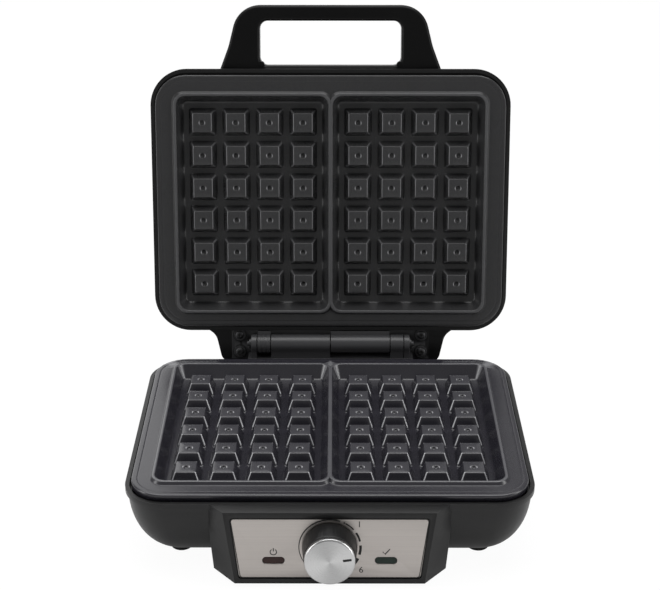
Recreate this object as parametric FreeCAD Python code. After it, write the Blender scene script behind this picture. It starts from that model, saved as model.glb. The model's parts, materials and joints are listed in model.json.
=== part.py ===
import FreeCAD, Part
import math
import os

V = FreeCAD.Vector
ACROSS = V(1, 0, 0)
BACK = V(0, 1, 0)
UP = V(0, 0, 1)

# Driving dimensions, in millimetres and degrees.
# Bench frame: x across, y towards the rear with 0 in the middle of the base, z up from the table.

# Where the halves meet and how far the lid stands open
PARTING_Z = 56.0
CLOSED_GAP = 0.6
HINGE_Y = 100.0
HINGE_RISE = 3.0
OPEN_ANGLE = 103.4

# Cast cooking plates
PLATE_WIDTH = 240.0
PLATE_DEPTH = 175.0
PLATE_CORNER = 21.0
FLANGE_THICK = 3.0
SKIRT_HEIGHT = 4.5
SKIRT_WALL = 2.6
BEAD_HEIGHT = 2.0
BEAD_CREST = 1.6
BEAD_SLOPE = 1.3
CAVITY_WIDTH = 104.5
CAVITY_LENGTH = 149.5
CAVITY_CORNER = 7.0
CAVITY_DEEP = 10.0
CAVITY_DRAFT = 4.0
CAVITY_SETBACK = 1.0
DIVIDER_CREST = 2.4
PEG_COLUMNS = 4
PEG_ROWS = 6
PEG_PITCH_X = 23.0
PEG_PITCH_Y = 22.46
PEG_TOP = 12.8
PEG_FOOT = 18.8
PEG_HEIGHT = 7.8
DIMPLE_RADIUS = 1.6
DIMPLE_DEEP = 0.7
TRAY_WALL = 3.0
TRAY_CORNER = 10.0

# Plate fixing: cast bosses, screws and the reflector pan clamped under the bosses
BOSS_X = 85.0
BOSS_Y = 48.0
BOSS_RADIUS = 5.0
BOSS_HEIGHT = 7.0
PILOT_DEEP = 1.0
SHEET = 0.8
PAN_WALL = 5.0
PAN_MARGIN = 6.0
PAN_CORNER = 18.0
CLAMP_LENGTH = 7.0

# Tubular heater
HEATER_RADIUS = 3.3
HEATER_X = 95.0
HEATER_Y = 61.0
HEATER_BEND = 18.0
HEATER_GAP = 12.0
HEATER_TAIL = 9.0
HEATER_PIN_RADIUS = 1.5

# Small cut-out fuse under the lower plate
FUSE_RADIUS = 2.2
FUSE_LENGTH = 12.0
FUSE_LEAD = 9.0
FUSE_LEAD_RADIUS = 0.6

# Base housing
SHELL_WALL = 2.5
FOOT_HEIGHT = 5.0
FOOT_RADIUS = 7.65
FOOT_SIDE_INSET = 28.0
FOOT_FRONT_INSET = 27.5
FOOT_REAR_INSET = 13.5
FOOT_STEM_RADIUS = 3.0
FOOT_BULB = 0.9
FOOT_BULB_LIFT = 0.6
RIM_DROP = 6.0
RIM_HEIGHT = 3.5
RIM_STEP = 1.4
RIM_WALL = 2.6
SHADOW_GAP_SIDE = 1.2
SHADOW_GAP_FRONT = 1.4
SHADOW_GAP_REAR = 0.8
RIM_CORNER = 25.0
BOWL_INSET = 24.0
BOWL_REAR_INSET = 6.0
FLOOR_CORNER = 12.0
POST_RADIUS = 5.0

# Lid housing
LID_RIM_RISE = 5.5
LID_HEIGHT = 44.5
LID_RIM_TRIM = 0.6
LID_INSET = 22.0
LID_REAR_INSET = 14.0
LID_TOP_WALL = 5.0
LID_TOP_CORNER = 13.0
COVER_WIDTH = 180.0
COVER_DEPTH = 118.0
COVER_CORNER = 12.0
COVER_THICK = 2.0

# Lid tail that hoods the hinge
TAIL_HALF_ROOT = 81.0
TAIL_HALF_TIP = 76.6
TAIL_REACH = 15.0
TAIL_THICK = 8.0
TAIL_FILLET = 10.0
TAIL_TIP_CORNER = 6.0
TAIL_EDGE = 3.0

# Handle loop
HANDLE_RISE = 18.0
HANDLE_THICK = 15.0
HANDLE_REACH = 42.7
HANDLE_HALF_ROOT = 77.0
HANDLE_HALF_WAIST = 69.8
HANDLE_HALF_TOP = 62.8
HANDLE_WAIST_REACH = 15.0
HANDLE_CORNER = 19.0
HANDLE_WAIST_BEND = 40.0
HANDLE_BAR = 10.6
HANDLE_WINDOW_HALF = 48.4
HANDLE_WINDOW_CORNER = 5.5
HANDLE_FOOT_BAR = 2.2
HANDLE_EDGE = 2.4
HANDLE_SCREW_X = 62.0
HANDLE_SCREW_PAIR = 12.0
HANDLE_SCREW_BITE = 12.0

# Hinge
BARREL_RADIUS = 6.45
PIN_RADIUS = 2.4
PIN_CLEARANCE = 0.05
TAB_START = 51.8
TAB_END = 55.6
KNUCKLE_START = 42.2
KNUCKLE_END = 51.2
BARREL_INNER = 0.35
BARREL_END = 41.6
PIN_OVERHANG = 3.0
CLIP_RADIUS = 4.2
CLIP_THICK = 1.2
BRACKET_HALF = 58.0
BRACKET_PLATE = 2.5
BRACKET_DROP = 12.0
LEDGE_THICK = 4.0
LEDGE_PAST_AXIS = 3.9
LEAF_LIFT = 0.75
LEAF_THICK = 1.5
LEAF_HALF = 70.0
LEAF_PAST_AXIS = 12.5
LEAF_BEFORE_AXIS = 8.6
RING_X = 64.2
RING_FRONT = 5.0
RING_REAR = 7.2
RING_RADIUS = 4.8
RING_WALL = 1.2
RING_HEIGHT = 1.1

# Fascia box and steel control panel
FASCIA_FOOT_Z = 3.0
FASCIA_FRONT_TOP = 100.5
FASCIA_FRONT_FOOT = 104.7
FASCIA_CHAMFER_TOP = 88.8
FASCIA_CHAMFER_FOOT = 89.1
FASCIA_HALF_TOP = 62.8
FASCIA_HALF_FOOT = 56.5
FASCIA_SHOULDER_TOP = 73.8
FASCIA_SHOULDER_FOOT = 70.1
FASCIA_BACK = 68.0
FASCIA_WALL = 2.6
FASCIA_SEAM = 0.15
CHAMFER_TURN = 45.0
PANEL_HALF_TOP = 58.6
PANEL_HALF_FOOT = 53.9
PANEL_TOP_Z = 46.0
PANEL_FOOT_Z = 6.7
PANEL_CORNER = 2.2
PANEL_THICK = 0.8
PANEL_POCKET = 1.2
PANEL_REVEAL = 0.5
WINDOW_HALF = 45.0
WINDOW_FOOT_Z = 12.0
WINDOW_TOP_Z = 40.0
FASCIA_SCREW_X = 60.0
FASCIA_SCREW_Z = 43.0
FASCIA_SCREW_BITE = 6.0

# Dial, thermostat and indicator lamps
DIAL_Z = 27.3
KNOB_RADIUS = 16.4
KNOB_NECK_RADIUS = 15.2
KNOB_WALL = 2.0
KNOB_LENGTH = 17.5
KNOB_GAP = 0.8
CAP_RADIUS = 14.9
CAP_THICK = 3.2
CAP_CHAMFER = 0.8
HUB_RADIUS = 6.0
HUB_LIFT = 3.4
SHAFT_RADIUS = 3.0
SHAFT_TOP = 12.0
SHAFT_TAIL = 16.0
BUSH_RADIUS = 5.0
BUSH_TOP = 2.0
NUT_FLATS = 13.0
NUT_HEIGHT = 2.4
STAT_WIDTH = 26.0
STAT_HEIGHT = 22.0
STAT_DEEP = 16.0
BRACE_WIDTH = 40.0
BRACE_THICK = 1.0
LAMP_X = 33.3
LAMP_Z = 18.3
LENS_LENGTH = 13.2
LENS_HEIGHT = 4.7
LENS_RECESS = 0.4
LENS_FLANGE = 1.6
LENS_FLANGE_THICK = 1.4
LAMP_RADIUS = 3.0
LAMP_LENGTH = 12.0
SOCKET_WALL = 1.0
SOCKET_LENGTH = 4.0

# Cord gland and terminal block
GLAND_X = 60.0
GLAND_Z = 20.0
GLAND_NECK = 5.0
GLAND_FLANGE = 7.0
GLAND_FLANGE_THICK = 2.0
GLAND_BOOT_ROOT = 6.8
GLAND_BOOT_TIP = 4.8
GLAND_BOOT_LENGTH = 20.0
GLAND_BORE = 3.4
BLOCK_X = 30.0
BLOCK_WIDTH = 34.0
BLOCK_DEEP = 14.0
BLOCK_HEIGHT = 12.0
BLOCK_Y = 66.0

# Fasteners and fits
SCREW_RADIUS = 1.5
SCREW_HEAD_RADIUS = 3.0
SCREW_HEAD_HEIGHT = 2.4
HOLE_CLEARANCE = 0.2
HEAD_ROOM = 0.6
FIT = 0.1
SEAT = 0.05
OVERRUN = 1.0
SECTIONS = 6

# Places worked out from the driving dimensions
HINGE_Z = PARTING_Z + HINGE_RISE
PLATE_HALF = PLATE_WIDTH / 2
PLATE_FRONT = -PLATE_DEPTH / 2
PLATE_REAR = PLATE_DEPTH / 2
FOOT_X = PLATE_HALF - FOOT_SIDE_INSET
FOOT_FRONT_Y = PLATE_FRONT + FOOT_FRONT_INSET
FOOT_REAR_Y = PLATE_REAR - FOOT_REAR_INSET
FLANGE_TOP = -BEAD_HEIGHT
FLANGE_FOOT = FLANGE_TOP - FLANGE_THICK
TRAY_FOOT = -CAVITY_DEEP - TRAY_WALL
BOSS_FOOT = TRAY_FOOT - BOSS_HEIGHT
PAN_FOOT = BOSS_FOOT - SHEET
SCREW_SEAT = PAN_FOOT - CLAMP_LENGTH
CAVITY_X = (CAVITY_WIDTH + DIVIDER_CREST) / 2
TRAY_HALF = CAVITY_X + CAVITY_WIDTH / 2 + SEAT
LOWER_CREST_Z = PARTING_Z - CLOSED_GAP / 2
UPPER_CREST_Z = PARTING_Z + CLOSED_GAP / 2
PAN_HALF = HEATER_X + HEATER_RADIUS + PAN_MARGIN
PAN_REACH = HEATER_Y + HEATER_RADIUS + PAN_MARGIN
RIM_TOP = PARTING_Z - RIM_DROP
RIM_FOOT = RIM_TOP - RIM_HEIGHT
RIM_HALF = PLATE_HALF + SHADOW_GAP_SIDE + RIM_WALL
RIM_FRONT = PLATE_FRONT - SHADOW_GAP_FRONT - RIM_WALL
RIM_REAR = PLATE_REAR + SHADOW_GAP_REAR + RIM_WALL
LID_RIM_FOOT = PARTING_Z + LID_RIM_RISE
LID_RIM_TOP = LID_RIM_FOOT + RIM_HEIGHT
LID_TOP = PARTING_Z + LID_HEIGHT
COVER_FLOOR = LID_TOP - COVER_THICK - FIT
LEAF_Z = HINGE_Z + BARREL_RADIUS + LEAF_LIFT
TAIL_Z = LEAF_Z + LEAF_THICK
BRACKET_FRONT = RIM_REAR + FIT
BRACKET_FOOT = RIM_TOP - BRACKET_DROP
PANEL_TILT = math.degrees(math.atan2(FASCIA_FRONT_FOOT - FASCIA_FRONT_TOP, RIM_TOP - FASCIA_FOOT_Z))
FASCIA_SLOPE = (FASCIA_FRONT_FOOT - FASCIA_FRONT_TOP) / (RIM_TOP - FASCIA_FOOT_Z)
DIAL_Y = -FASCIA_FRONT_FOOT + FASCIA_SLOPE * (DIAL_Z - FASCIA_FOOT_Z)
PANEL_FACE = PANEL_THICK - PANEL_POCKET
FASCIA_INSIDE = -PANEL_POCKET - FASCIA_WALL
STAT_FACE = FASCIA_INSIDE - SEAT - BRACE_THICK
HOLE_RADIUS = SCREW_RADIUS + HOLE_CLEARANCE


# Shape helpers

def rounded_polygon(points, radii, z):
    """Closed wire through plan points, each corner rounded by its own radius."""
    count = len(points)
    arcs = []
    for index, point in enumerate(points):
        here = V(point[0], point[1], z)
        before = V(points[index - 1][0], points[index - 1][1], z)
        after = V(points[(index + 1) % count][0], points[(index + 1) % count][1], z)
        back = (before - here).normalize()
        ahead = (after - here).normalize()
        half = back.getAngle(ahead) / 2
        inward = (back + ahead).normalize()
        reach = radii[index] / math.tan(half)
        start = here + back * reach
        end = here + ahead * reach
        middle = here + inward * (radii[index] / math.sin(half) - radii[index])
        arcs.append((start, middle, end))
    edges = []
    for index, (start, middle, end) in enumerate(arcs):
        if radii[index] > 0:
            edges.append(Part.Arc(start, middle, end).toShape())
        following = arcs[(index + 1) % count][0]
        edges.append(Part.LineSegment(end, following).toShape())
    return Part.Wire(edges)


def plan(half_width, front, rear, corner, z):
    """Rounded rectangle, even about x = 0, from front to rear at height z."""
    points = [(-half_width, front), (half_width, front), (half_width, rear), (-half_width, rear)]
    return rounded_polygon(points, [corner] * len(points), z)


def slab(wire, height):
    """Solid raised straight from a plan wire."""
    return Part.Face(wire).extrude(UP * height)


def frustum(low, high):
    """Solid with straight sloping sides between two plan wires."""
    return Part.makeLoft([low, high], True, True)


def rod(radius, start, end):
    """Round bar from one point to another."""
    along = end - start
    return Part.makeCylinder(radius, along.Length, start, along)


def box(low, high):
    """Block between two opposite corners."""
    size = high - low
    return Part.makeBox(size.x, size.y, size.z, low)


def turned(profile):
    """Solid of revolution about z from (radius, height) points."""
    points = [V(radius, 0, height) for radius, height in profile]
    return Part.Face(Part.makePolygon(points + points[:1])).revolve(V(0, 0, 0), UP, 360)


def joined(shapes):
    """One solid fused from several, with its seams cleaned."""
    return shapes[0].multiFuse(shapes[1:]).removeSplitter()


def moved(shape, offset):
    """Copy of a shape, shifted."""
    copy = shape.copy()
    copy.translate(offset)
    return copy


def screw(seat, axis, length):
    """Pan-head screw whose head rests at seat and whose shank runs along axis."""
    shank = rod(SCREW_RADIUS, seat, seat + axis * length)
    head = rod(SCREW_HEAD_RADIUS, seat - axis * SCREW_HEAD_HEIGHT, seat)
    edge = Part.makeCone(SCREW_HEAD_RADIUS, SCREW_RADIUS, SCREW_RADIUS / 2, head.BoundBox.Center, -axis)
    slot = rod(SCREW_RADIUS / 2, seat - axis * (SCREW_HEAD_HEIGHT + OVERRUN), seat - axis * SCREW_RADIUS)
    edge.translate(-axis * (SCREW_HEAD_HEIGHT / 2))
    return joined([shank, head, edge]).cut(slot)


def bowl(half_width, front, rear, corner, insets, heights):
    """Housing body whose sides roll in by a quarter ellipse from heights[0] to heights[1]."""
    side_inset, rear_inset, last_corner = insets
    wires = []
    for step in range(SECTIONS + 1):
        turn = math.radians(90) * step / SECTIONS
        share = 1 - math.cos(turn)
        z = heights[0] + (heights[1] - heights[0]) * math.sin(turn)
        roll = side_inset * share
        radius = corner + (last_corner - corner) * share
        wires.append(plan(half_width - roll, front + roll, rear - rear_inset * share, radius, z))
    return Part.makeLoft(wires, True, False)


def roll_at(inset, heights, z):
    """How far a rolled wall has come in at height z."""
    share = (z - heights[0]) / (heights[1] - heights[0])
    return inset * (1 - math.sqrt(1 - share ** 2))


def on_panel(shape):
    """Shape drawn on the panel plane (x across, y up the panel, z outwards), set on the sloping fascia."""
    placed = shape.copy()
    placed.rotate(V(0, 0, 0), ACROSS, 90 - PANEL_TILT)
    placed.translate(V(0, DIAL_Y, DIAL_Z))
    return placed


def panel_height(z):
    """Distance up the panel from the dial axis to a height above the table."""
    return (z - DIAL_Z) / math.cos(math.radians(PANEL_TILT))


def opened(shape):
    """Lid piece drawn closed, swung open about the hinge axis."""
    swung = shape.copy()
    swung.rotate(V(0, HINGE_Y, HINGE_Z), ACROSS, -OPEN_ANGLE)
    return swung


def lower(shape):
    """Plate-side piece drawn crest up at z = 0, set in the base."""
    return moved(shape, UP * LOWER_CREST_Z)


def upper(shape):
    """Plate-side piece drawn crest up at z = 0, turned over into the lid and swung open."""
    over = shape.copy()
    over.rotate(V(0, 0, 0), BACK, 180)
    return opened(moved(over, UP * UPPER_CREST_Z))


def boss_places():
    """Centres of the four plate fixings."""
    return [(x, y + CAVITY_SETBACK) for x in (-BOSS_X, BOSS_X) for y in (-BOSS_Y, BOSS_Y)]


# Cooking plate and what hangs under it, drawn crest up at z = 0

def cavity_wire(side, grow, corner, z):
    """Outline of one waffle cavity, grown or shrunk, at height z."""
    half = CAVITY_WIDTH / 2 + grow
    reach = CAVITY_LENGTH / 2 + grow
    wire = plan(half, CAVITY_SETBACK - reach, CAVITY_SETBACK + reach, corner, z)
    wire.translate(ACROSS * (side * CAVITY_X))
    return wire


def square(centre, width, z):
    """Square wire about a plan point."""
    half = width / 2
    corners = [V(-half, -half, z), V(half, -half, z), V(half, half, z), V(-half, half, z)]
    wire = Part.makePolygon(corners + corners[:1])
    wire.translate(centre)
    return wire


def pegs(side):
    """Grid of tapered pegs in one cavity, each with a dimple in its top."""
    shapes = []
    top = -CAVITY_DEEP + PEG_HEIGHT
    ball = (DIMPLE_RADIUS ** 2 + DIMPLE_DEEP ** 2) / (2 * DIMPLE_DEEP)
    for column in range(PEG_COLUMNS):
        for row in range(PEG_ROWS):
            x = side * CAVITY_X + (column - (PEG_COLUMNS - 1) / 2) * PEG_PITCH_X
            y = CAVITY_SETBACK + (row - (PEG_ROWS - 1) / 2) * PEG_PITCH_Y
            centre = V(x, y, 0)
            peg = frustum(square(centre, PEG_FOOT, -CAVITY_DEEP), square(centre, PEG_TOP, top))
            dimple = Part.makeSphere(ball, V(x, y, top + ball - DIMPLE_DEEP))
            shapes.append(peg.cut(dimple))
    return shapes


def cooking_plate():
    """Cast plate: skirted flange, two beaded cavities with pegs, trays and bosses underneath."""
    outer = slab(plan(PLATE_HALF, PLATE_FRONT, PLATE_REAR, PLATE_CORNER, FLANGE_TOP - SKIRT_HEIGHT),
                 SKIRT_HEIGHT)
    under = slab(plan(PLATE_HALF - SKIRT_WALL, PLATE_FRONT + SKIRT_WALL, PLATE_REAR - SKIRT_WALL,
                      PLATE_CORNER - SKIRT_WALL, FLANGE_TOP - SKIRT_HEIGHT),
                 SKIRT_HEIGHT - FLANGE_THICK)
    rounding = [edge for edge in outer.Edges
                if edge.BoundBox.ZMin > FLANGE_TOP - SEAT]
    body = outer.makeFillet(SKIRT_WALL - OVERRUN, rounding).cut(under)
    tray_reach = CAVITY_LENGTH / 2
    tray = slab(plan(TRAY_HALF, CAVITY_SETBACK - tray_reach, CAVITY_SETBACK + tray_reach,
                     TRAY_CORNER, TRAY_FOOT), FLANGE_FOOT - TRAY_FOOT)
    shapes = [body, tray]
    for x, y in boss_places():
        shapes.append(rod(BOSS_RADIUS, V(x, y, BOSS_FOOT), V(x, y, TRAY_FOOT)))
    for side in (-1, 1):
        wide = cavity_wire(side, BEAD_CREST + BEAD_SLOPE, CAVITY_CORNER + BEAD_SLOPE, FLANGE_TOP)
        narrow = cavity_wire(side, BEAD_CREST, CAVITY_CORNER, 0)
        shapes.append(frustum(wide, narrow))
    casting = joined(shapes)
    for side in (-1, 1):
        mouth = cavity_wire(side, 0, CAVITY_CORNER, 0)
        floor = cavity_wire(side, -CAVITY_DRAFT, CAVITY_CORNER - CAVITY_DRAFT, -CAVITY_DEEP)
        space = frustum(floor, mouth)
        casting = casting.cut(space.cut(Part.makeCompound(pegs(side))))
    pilots = []
    for x, y in boss_places():
        pilots.append(rod(SCREW_RADIUS + SEAT, V(x, y, BOSS_FOOT), V(x, y, TRAY_FOOT + PILOT_DEEP)))
    return casting.cut(Part.makeCompound(pilots))


def heater():
    """Sheathed tube bent round under the trays, with a cold pin at each end."""
    z = TRAY_FOOT - HEATER_RADIUS - SEAT
    rear = CAVITY_SETBACK + HEATER_Y
    front = CAVITY_SETBACK - HEATER_Y
    loop = plan(HEATER_X, front, rear, HEATER_BEND, z)
    path = Part.Wire(Part.sortEdges([edge for edge in loop.Edges if edge.BoundBox.YMin < rear - SEAT])[0])
    shapes = []
    for end in (-1, 1):
        bend = V(end * (HEATER_X - HEATER_BEND), rear, z)
        stop = V(end * HEATER_GAP, rear, z)
        shapes.append(rod(HEATER_RADIUS, bend, stop))
        shapes.append(rod(HEATER_PIN_RADIUS, stop, stop - ACROSS * (end * HEATER_TAIL)))
    start = path.OrderedVertexes[0].Point
    ring = Part.Wire(Part.makeCircle(HEATER_RADIUS, start, ACROSS))
    return joined([path.makePipeShell([ring], True, False)] + shapes)


def reflector():
    """Sheet pan clamped between the plate's bosses and the housing's posts."""
    front = CAVITY_SETBACK - PAN_REACH
    rear = CAVITY_SETBACK + PAN_REACH
    height = SHEET + PAN_WALL
    outside = slab(plan(PAN_HALF, front, rear, PAN_CORNER, PAN_FOOT), height)
    inside = slab(plan(PAN_HALF - SHEET, front + SHEET, rear - SHEET, PAN_CORNER - SHEET, BOSS_FOOT), height)
    pan = outside.cut(inside)
    for x, y in boss_places():
        pan = pan.cut(rod(HOLE_RADIUS, V(x, y, PAN_FOOT - OVERRUN), V(x, y, BOSS_FOOT + OVERRUN)))
    return pan


def plate_screws():
    """Four screws that draw the plate down on its posts."""
    length = TRAY_FOOT - SCREW_SEAT
    return Part.makeCompound([screw(V(x, y, SCREW_SEAT), UP, length) for x, y in boss_places()])


def thermal_fuse():
    """One-shot fuse with its two leads, lying under the front of the trays."""
    z = TRAY_FOOT - FUSE_RADIUS - SEAT
    half = FUSE_LENGTH / 2
    barrel = rod(FUSE_RADIUS, V(-half, 0, z), V(half, 0, z))
    lead = rod(FUSE_LEAD_RADIUS, V(-half - FUSE_LEAD, 0, z), V(half + FUSE_LEAD, 0, z))
    return joined([barrel, lead])


# Base housing pieces

def base_body(grow, top):
    """Outside of the base bowl and its rim, grown by a clearance."""
    step = RIM_STEP - grow
    insets = (BOWL_INSET, BOWL_REAR_INSET, FLOOR_CORNER)
    body = bowl(RIM_HALF - step, RIM_FRONT + step, RIM_REAR - step, RIM_CORNER, insets,
                (RIM_FOOT, FOOT_HEIGHT - grow))
    rim = slab(plan(RIM_HALF + grow, RIM_FRONT - grow, RIM_REAR + grow, RIM_CORNER, RIM_FOOT - grow),
               top - RIM_FOOT + grow)
    return joined([body, rim])


def base_shell():
    """Moulded bowl with an open top, posts for the plate and holes for feet, cord and fascia."""
    inset = RIM_STEP + SHELL_WALL
    insets = (BOWL_INSET, BOWL_REAR_INSET, FLOOR_CORNER)
    hollow = bowl(RIM_HALF - inset, RIM_FRONT + inset, RIM_REAR - inset, RIM_CORNER - SHELL_WALL, insets,
                  (RIM_FOOT, FOOT_HEIGHT + SHELL_WALL))
    mouth = slab(plan(RIM_HALF - RIM_WALL, RIM_FRONT + RIM_WALL, RIM_REAR - RIM_WALL,
                      RIM_CORNER - RIM_WALL, RIM_FOOT), RIM_HEIGHT + OVERRUN)
    shell = base_body(0, RIM_TOP).cut(hollow).cut(mouth)
    post_top = LOWER_CREST_Z + PAN_FOOT
    seat = LOWER_CREST_Z + SCREW_SEAT
    posts = [rod(POST_RADIUS, V(x, y, FOOT_HEIGHT + OVERRUN), V(x, y, post_top)) for x, y in boss_places()]
    shell = joined([shell] + posts)
    cuts = []
    for x, y in boss_places():
        cuts.append(rod(SCREW_HEAD_RADIUS + HEAD_ROOM, V(x, y, 0), V(x, y, seat)))
        cuts.append(rod(HOLE_RADIUS, V(x, y, seat), V(x, y, post_top + OVERRUN)))
    for x, y in foot_places():
        cuts.append(rod(FOOT_STEM_RADIUS + FIT, V(x, y, 0), V(x, y, FOOT_HEIGHT + SHELL_WALL + OVERRUN)))
    cuts.append(box(V(-WINDOW_HALF, RIM_FRONT, WINDOW_FOOT_Z), V(WINDOW_HALF, -FASCIA_BACK, WINDOW_TOP_Z)))
    for x in (-FASCIA_SCREW_X, FASCIA_SCREW_X):
        start = V(x, RIM_FRONT, FASCIA_SCREW_Z)
        cuts.append(rod(HOLE_RADIUS, start, start + BACK * (SHELL_WALL + RIM_STEP + OVERRUN)))
    for x, z in bracket_screw_places():
        start = V(x, RIM_REAR + OVERRUN, z)
        cuts.append(rod(HOLE_RADIUS, start, start - BACK * (SHELL_WALL + RIM_STEP + 2 * OVERRUN)))
    cuts.append(rod(GLAND_NECK + FIT, V(GLAND_X, RIM_REAR - RIM_STEP - GLAND_BOOT_LENGTH, GLAND_Z),
                    V(GLAND_X, RIM_REAR, GLAND_Z)))
    return shell.cut(Part.makeCompound(cuts))


def foot_places():
    """Centres of the four feet."""
    return [(x, y) for y in (FOOT_FRONT_Y, FOOT_REAR_Y) for x in (-FOOT_X, FOOT_X)]


def foot(x, y):
    """Rubber foot with a push-in stem and bulb."""
    top = FOOT_HEIGHT + SHELL_WALL + FOOT_BULB_LIFT
    pad = Part.makeCone(FOOT_RADIUS - FOOT_BULB, FOOT_RADIUS, FOOT_HEIGHT - SEAT)
    stem = rod(FOOT_STEM_RADIUS, V(0, 0, FOOT_HEIGHT - OVERRUN), V(0, 0, top))
    bulb = Part.makeCone(FOOT_STEM_RADIUS + FOOT_BULB, FOOT_STEM_RADIUS - FOOT_BULB, FOOT_STEM_RADIUS,
                         V(0, 0, top), UP)
    return moved(joined([pad, stem, bulb]), V(x, y, 0))


def between(foot, top, z):
    """Size of the fascia at height z, straight from its foot to its top."""
    return foot + (top - foot) * (z - FASCIA_FOOT_Z) / (RIM_TOP - FASCIA_FOOT_Z)


def fascia_wire(inset, back, z):
    """Plan outline of the fascia box at height z, drawn in by an inset."""
    front = between(FASCIA_FRONT_FOOT, FASCIA_FRONT_TOP, z)
    half = between(FASCIA_HALF_FOOT, FASCIA_HALF_TOP, z)
    chamfer = between(FASCIA_CHAMFER_FOOT, FASCIA_CHAMFER_TOP, z)
    shoulder = between(FASCIA_SHOULDER_FOOT, FASCIA_SHOULDER_TOP, z)
    side = inset * math.tan(math.radians(CHAMFER_TURN / 2))
    points = [V(-half + side, inset - front, z), V(half - side, inset - front, z),
              V(shoulder - inset, side - chamfer, z), V(shoulder - inset, -back, z),
              V(inset - shoulder, -back, z), V(inset - shoulder, side - chamfer, z)]
    return Part.makePolygon(points + points[:1])


def panel_wire(shrink, z):
    """Outline of the steel panel on the panel plane."""
    top = panel_height(PANEL_TOP_Z) - shrink
    foot = panel_height(PANEL_FOOT_Z) + shrink
    points = [(shrink - PANEL_HALF_FOOT, foot), (PANEL_HALF_FOOT - shrink, foot),
              (PANEL_HALF_TOP - shrink, top), (shrink - PANEL_HALF_TOP, top)]
    return rounded_polygon(points, [PANEL_CORNER] * len(points), z)


def lamp_slot(side, shrink, low, high):
    """Round-ended bar at one lamp window on the panel plane."""
    half = LENS_LENGTH / 2 - shrink
    rise = LENS_HEIGHT / 2 - shrink
    points = [(-half, -rise), (half, -rise), (half, rise), (-half, rise)]
    wire = rounded_polygon(points, [rise - SEAT] * len(points), low)
    return moved(slab(wire, high - low), V(side * LAMP_X, panel_height(LAMP_Z), 0))


def bush_hole():
    """Clearance hole for the thermostat bush on the panel plane."""
    return rod(BUSH_RADIUS + HOLE_CLEARANCE, V(0, 0, STAT_FACE - OVERRUN), V(0, 0, OVERRUN))


def front_fascia():
    """Moulded box on the front of the bowl that carries the panel, lamps and thermostat."""
    outside = frustum(fascia_wire(0, FASCIA_BACK, FASCIA_FOOT_Z), fascia_wire(0, FASCIA_BACK, RIM_TOP))
    wall = (FASCIA_WALL + PANEL_POCKET) / math.cos(math.radians(PANEL_TILT))
    inside = frustum(fascia_wire(wall, FASCIA_BACK - OVERRUN, FASCIA_FOOT_Z + FASCIA_WALL),
                     fascia_wire(wall, FASCIA_BACK - OVERRUN, RIM_TOP - FASCIA_WALL))
    hollow = outside.cut(inside)
    bosses = []
    for x in (-FASCIA_SCREW_X, FASCIA_SCREW_X):
        start = V(x, RIM_FRONT - FASCIA_SCREW_BITE, FASCIA_SCREW_Z)
        bosses.append(rod(BOSS_RADIUS, start, V(x, RIM_FRONT + RIM_STEP, FASCIA_SCREW_Z)))
    hollow = joined([hollow] + [boss.common(outside) for boss in bosses])
    fascia = hollow.cut(base_body(FASCIA_SEAM, RIM_TOP + OVERRUN))
    cuts = [on_panel(slab(panel_wire(-PANEL_REVEAL, -PANEL_POCKET), PANEL_POCKET + OVERRUN))]
    cuts.append(on_panel(bush_hole()))
    for side in (-1, 1):
        cuts.append(on_panel(lamp_slot(side, 0, FASCIA_INSIDE - OVERRUN, OVERRUN)))
    for x in (-FASCIA_SCREW_X, FASCIA_SCREW_X):
        end = V(x, RIM_FRONT - FASCIA_SCREW_BITE, FASCIA_SCREW_Z)
        cuts.append(rod(SCREW_RADIUS + SEAT, end + BACK * SEAT, end + BACK * (FASCIA_SCREW_BITE + RIM_STEP)))
    return fascia.cut(Part.makeCompound(cuts))


def fascia_screws():
    """Two screws from inside the bowl that hold the fascia."""
    heights = (RIM_FOOT, FOOT_HEIGHT + SHELL_WALL)
    roll = roll_at(BOWL_INSET, heights, FASCIA_SCREW_Z - SCREW_HEAD_RADIUS)
    seat_y = RIM_FRONT + RIM_STEP + SHELL_WALL + roll + FIT
    length = seat_y - RIM_FRONT + FASCIA_SCREW_BITE - FIT
    places = [V(x, seat_y, FASCIA_SCREW_Z) for x in (-FASCIA_SCREW_X, FASCIA_SCREW_X)]
    return Part.makeCompound([screw(place, -BACK, length) for place in places])


def control_panel():
    """Thin steel panel let into the fascia, pierced for the dial and the lamps."""
    sheet = slab(panel_wire(0, -PANEL_POCKET), PANEL_THICK)
    cuts = [bush_hole()]
    for side in (-1, 1):
        cuts.append(lamp_slot(side, 0, -PANEL_POCKET - OVERRUN, OVERRUN))
    return on_panel(sheet.cut(Part.makeCompound(cuts)))


def lamp_lens(side):
    """Tinted window with a flange behind the fascia and a socket for its lamp."""
    front = PANEL_FACE - LENS_RECESS
    window = lamp_slot(side, HOLE_CLEARANCE, FASCIA_INSIDE - LENS_FLANGE_THICK, front)
    flange = lamp_slot(side, -LENS_FLANGE, FASCIA_INSIDE - LENS_FLANGE_THICK - SEAT, FASCIA_INSIDE - SEAT)
    centre = V(side * LAMP_X, panel_height(LAMP_Z), FASCIA_INSIDE - LENS_FLANGE_THICK)
    socket = rod(LAMP_RADIUS + FIT + SOCKET_WALL, centre, centre - UP * SOCKET_LENGTH)
    bore = rod(LAMP_RADIUS + FIT, centre - UP * SEAT, centre - UP * (SOCKET_LENGTH + OVERRUN))
    return on_panel(joined([window, flange, socket]).cut(bore))


def lamp(side):
    """Neon indicator pushed into the lens socket."""
    front = FASCIA_INSIDE - LENS_FLANGE_THICK - FIT
    centre = V(side * LAMP_X, panel_height(LAMP_Z), front)
    glass = rod(LAMP_RADIUS, centre, centre - UP * LAMP_LENGTH)
    tip = Part.makeCone(LAMP_RADIUS, LAMP_RADIUS / 2, LAMP_RADIUS, centre - UP * LAMP_LENGTH, -UP)
    return on_panel(joined([glass, tip]))


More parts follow.
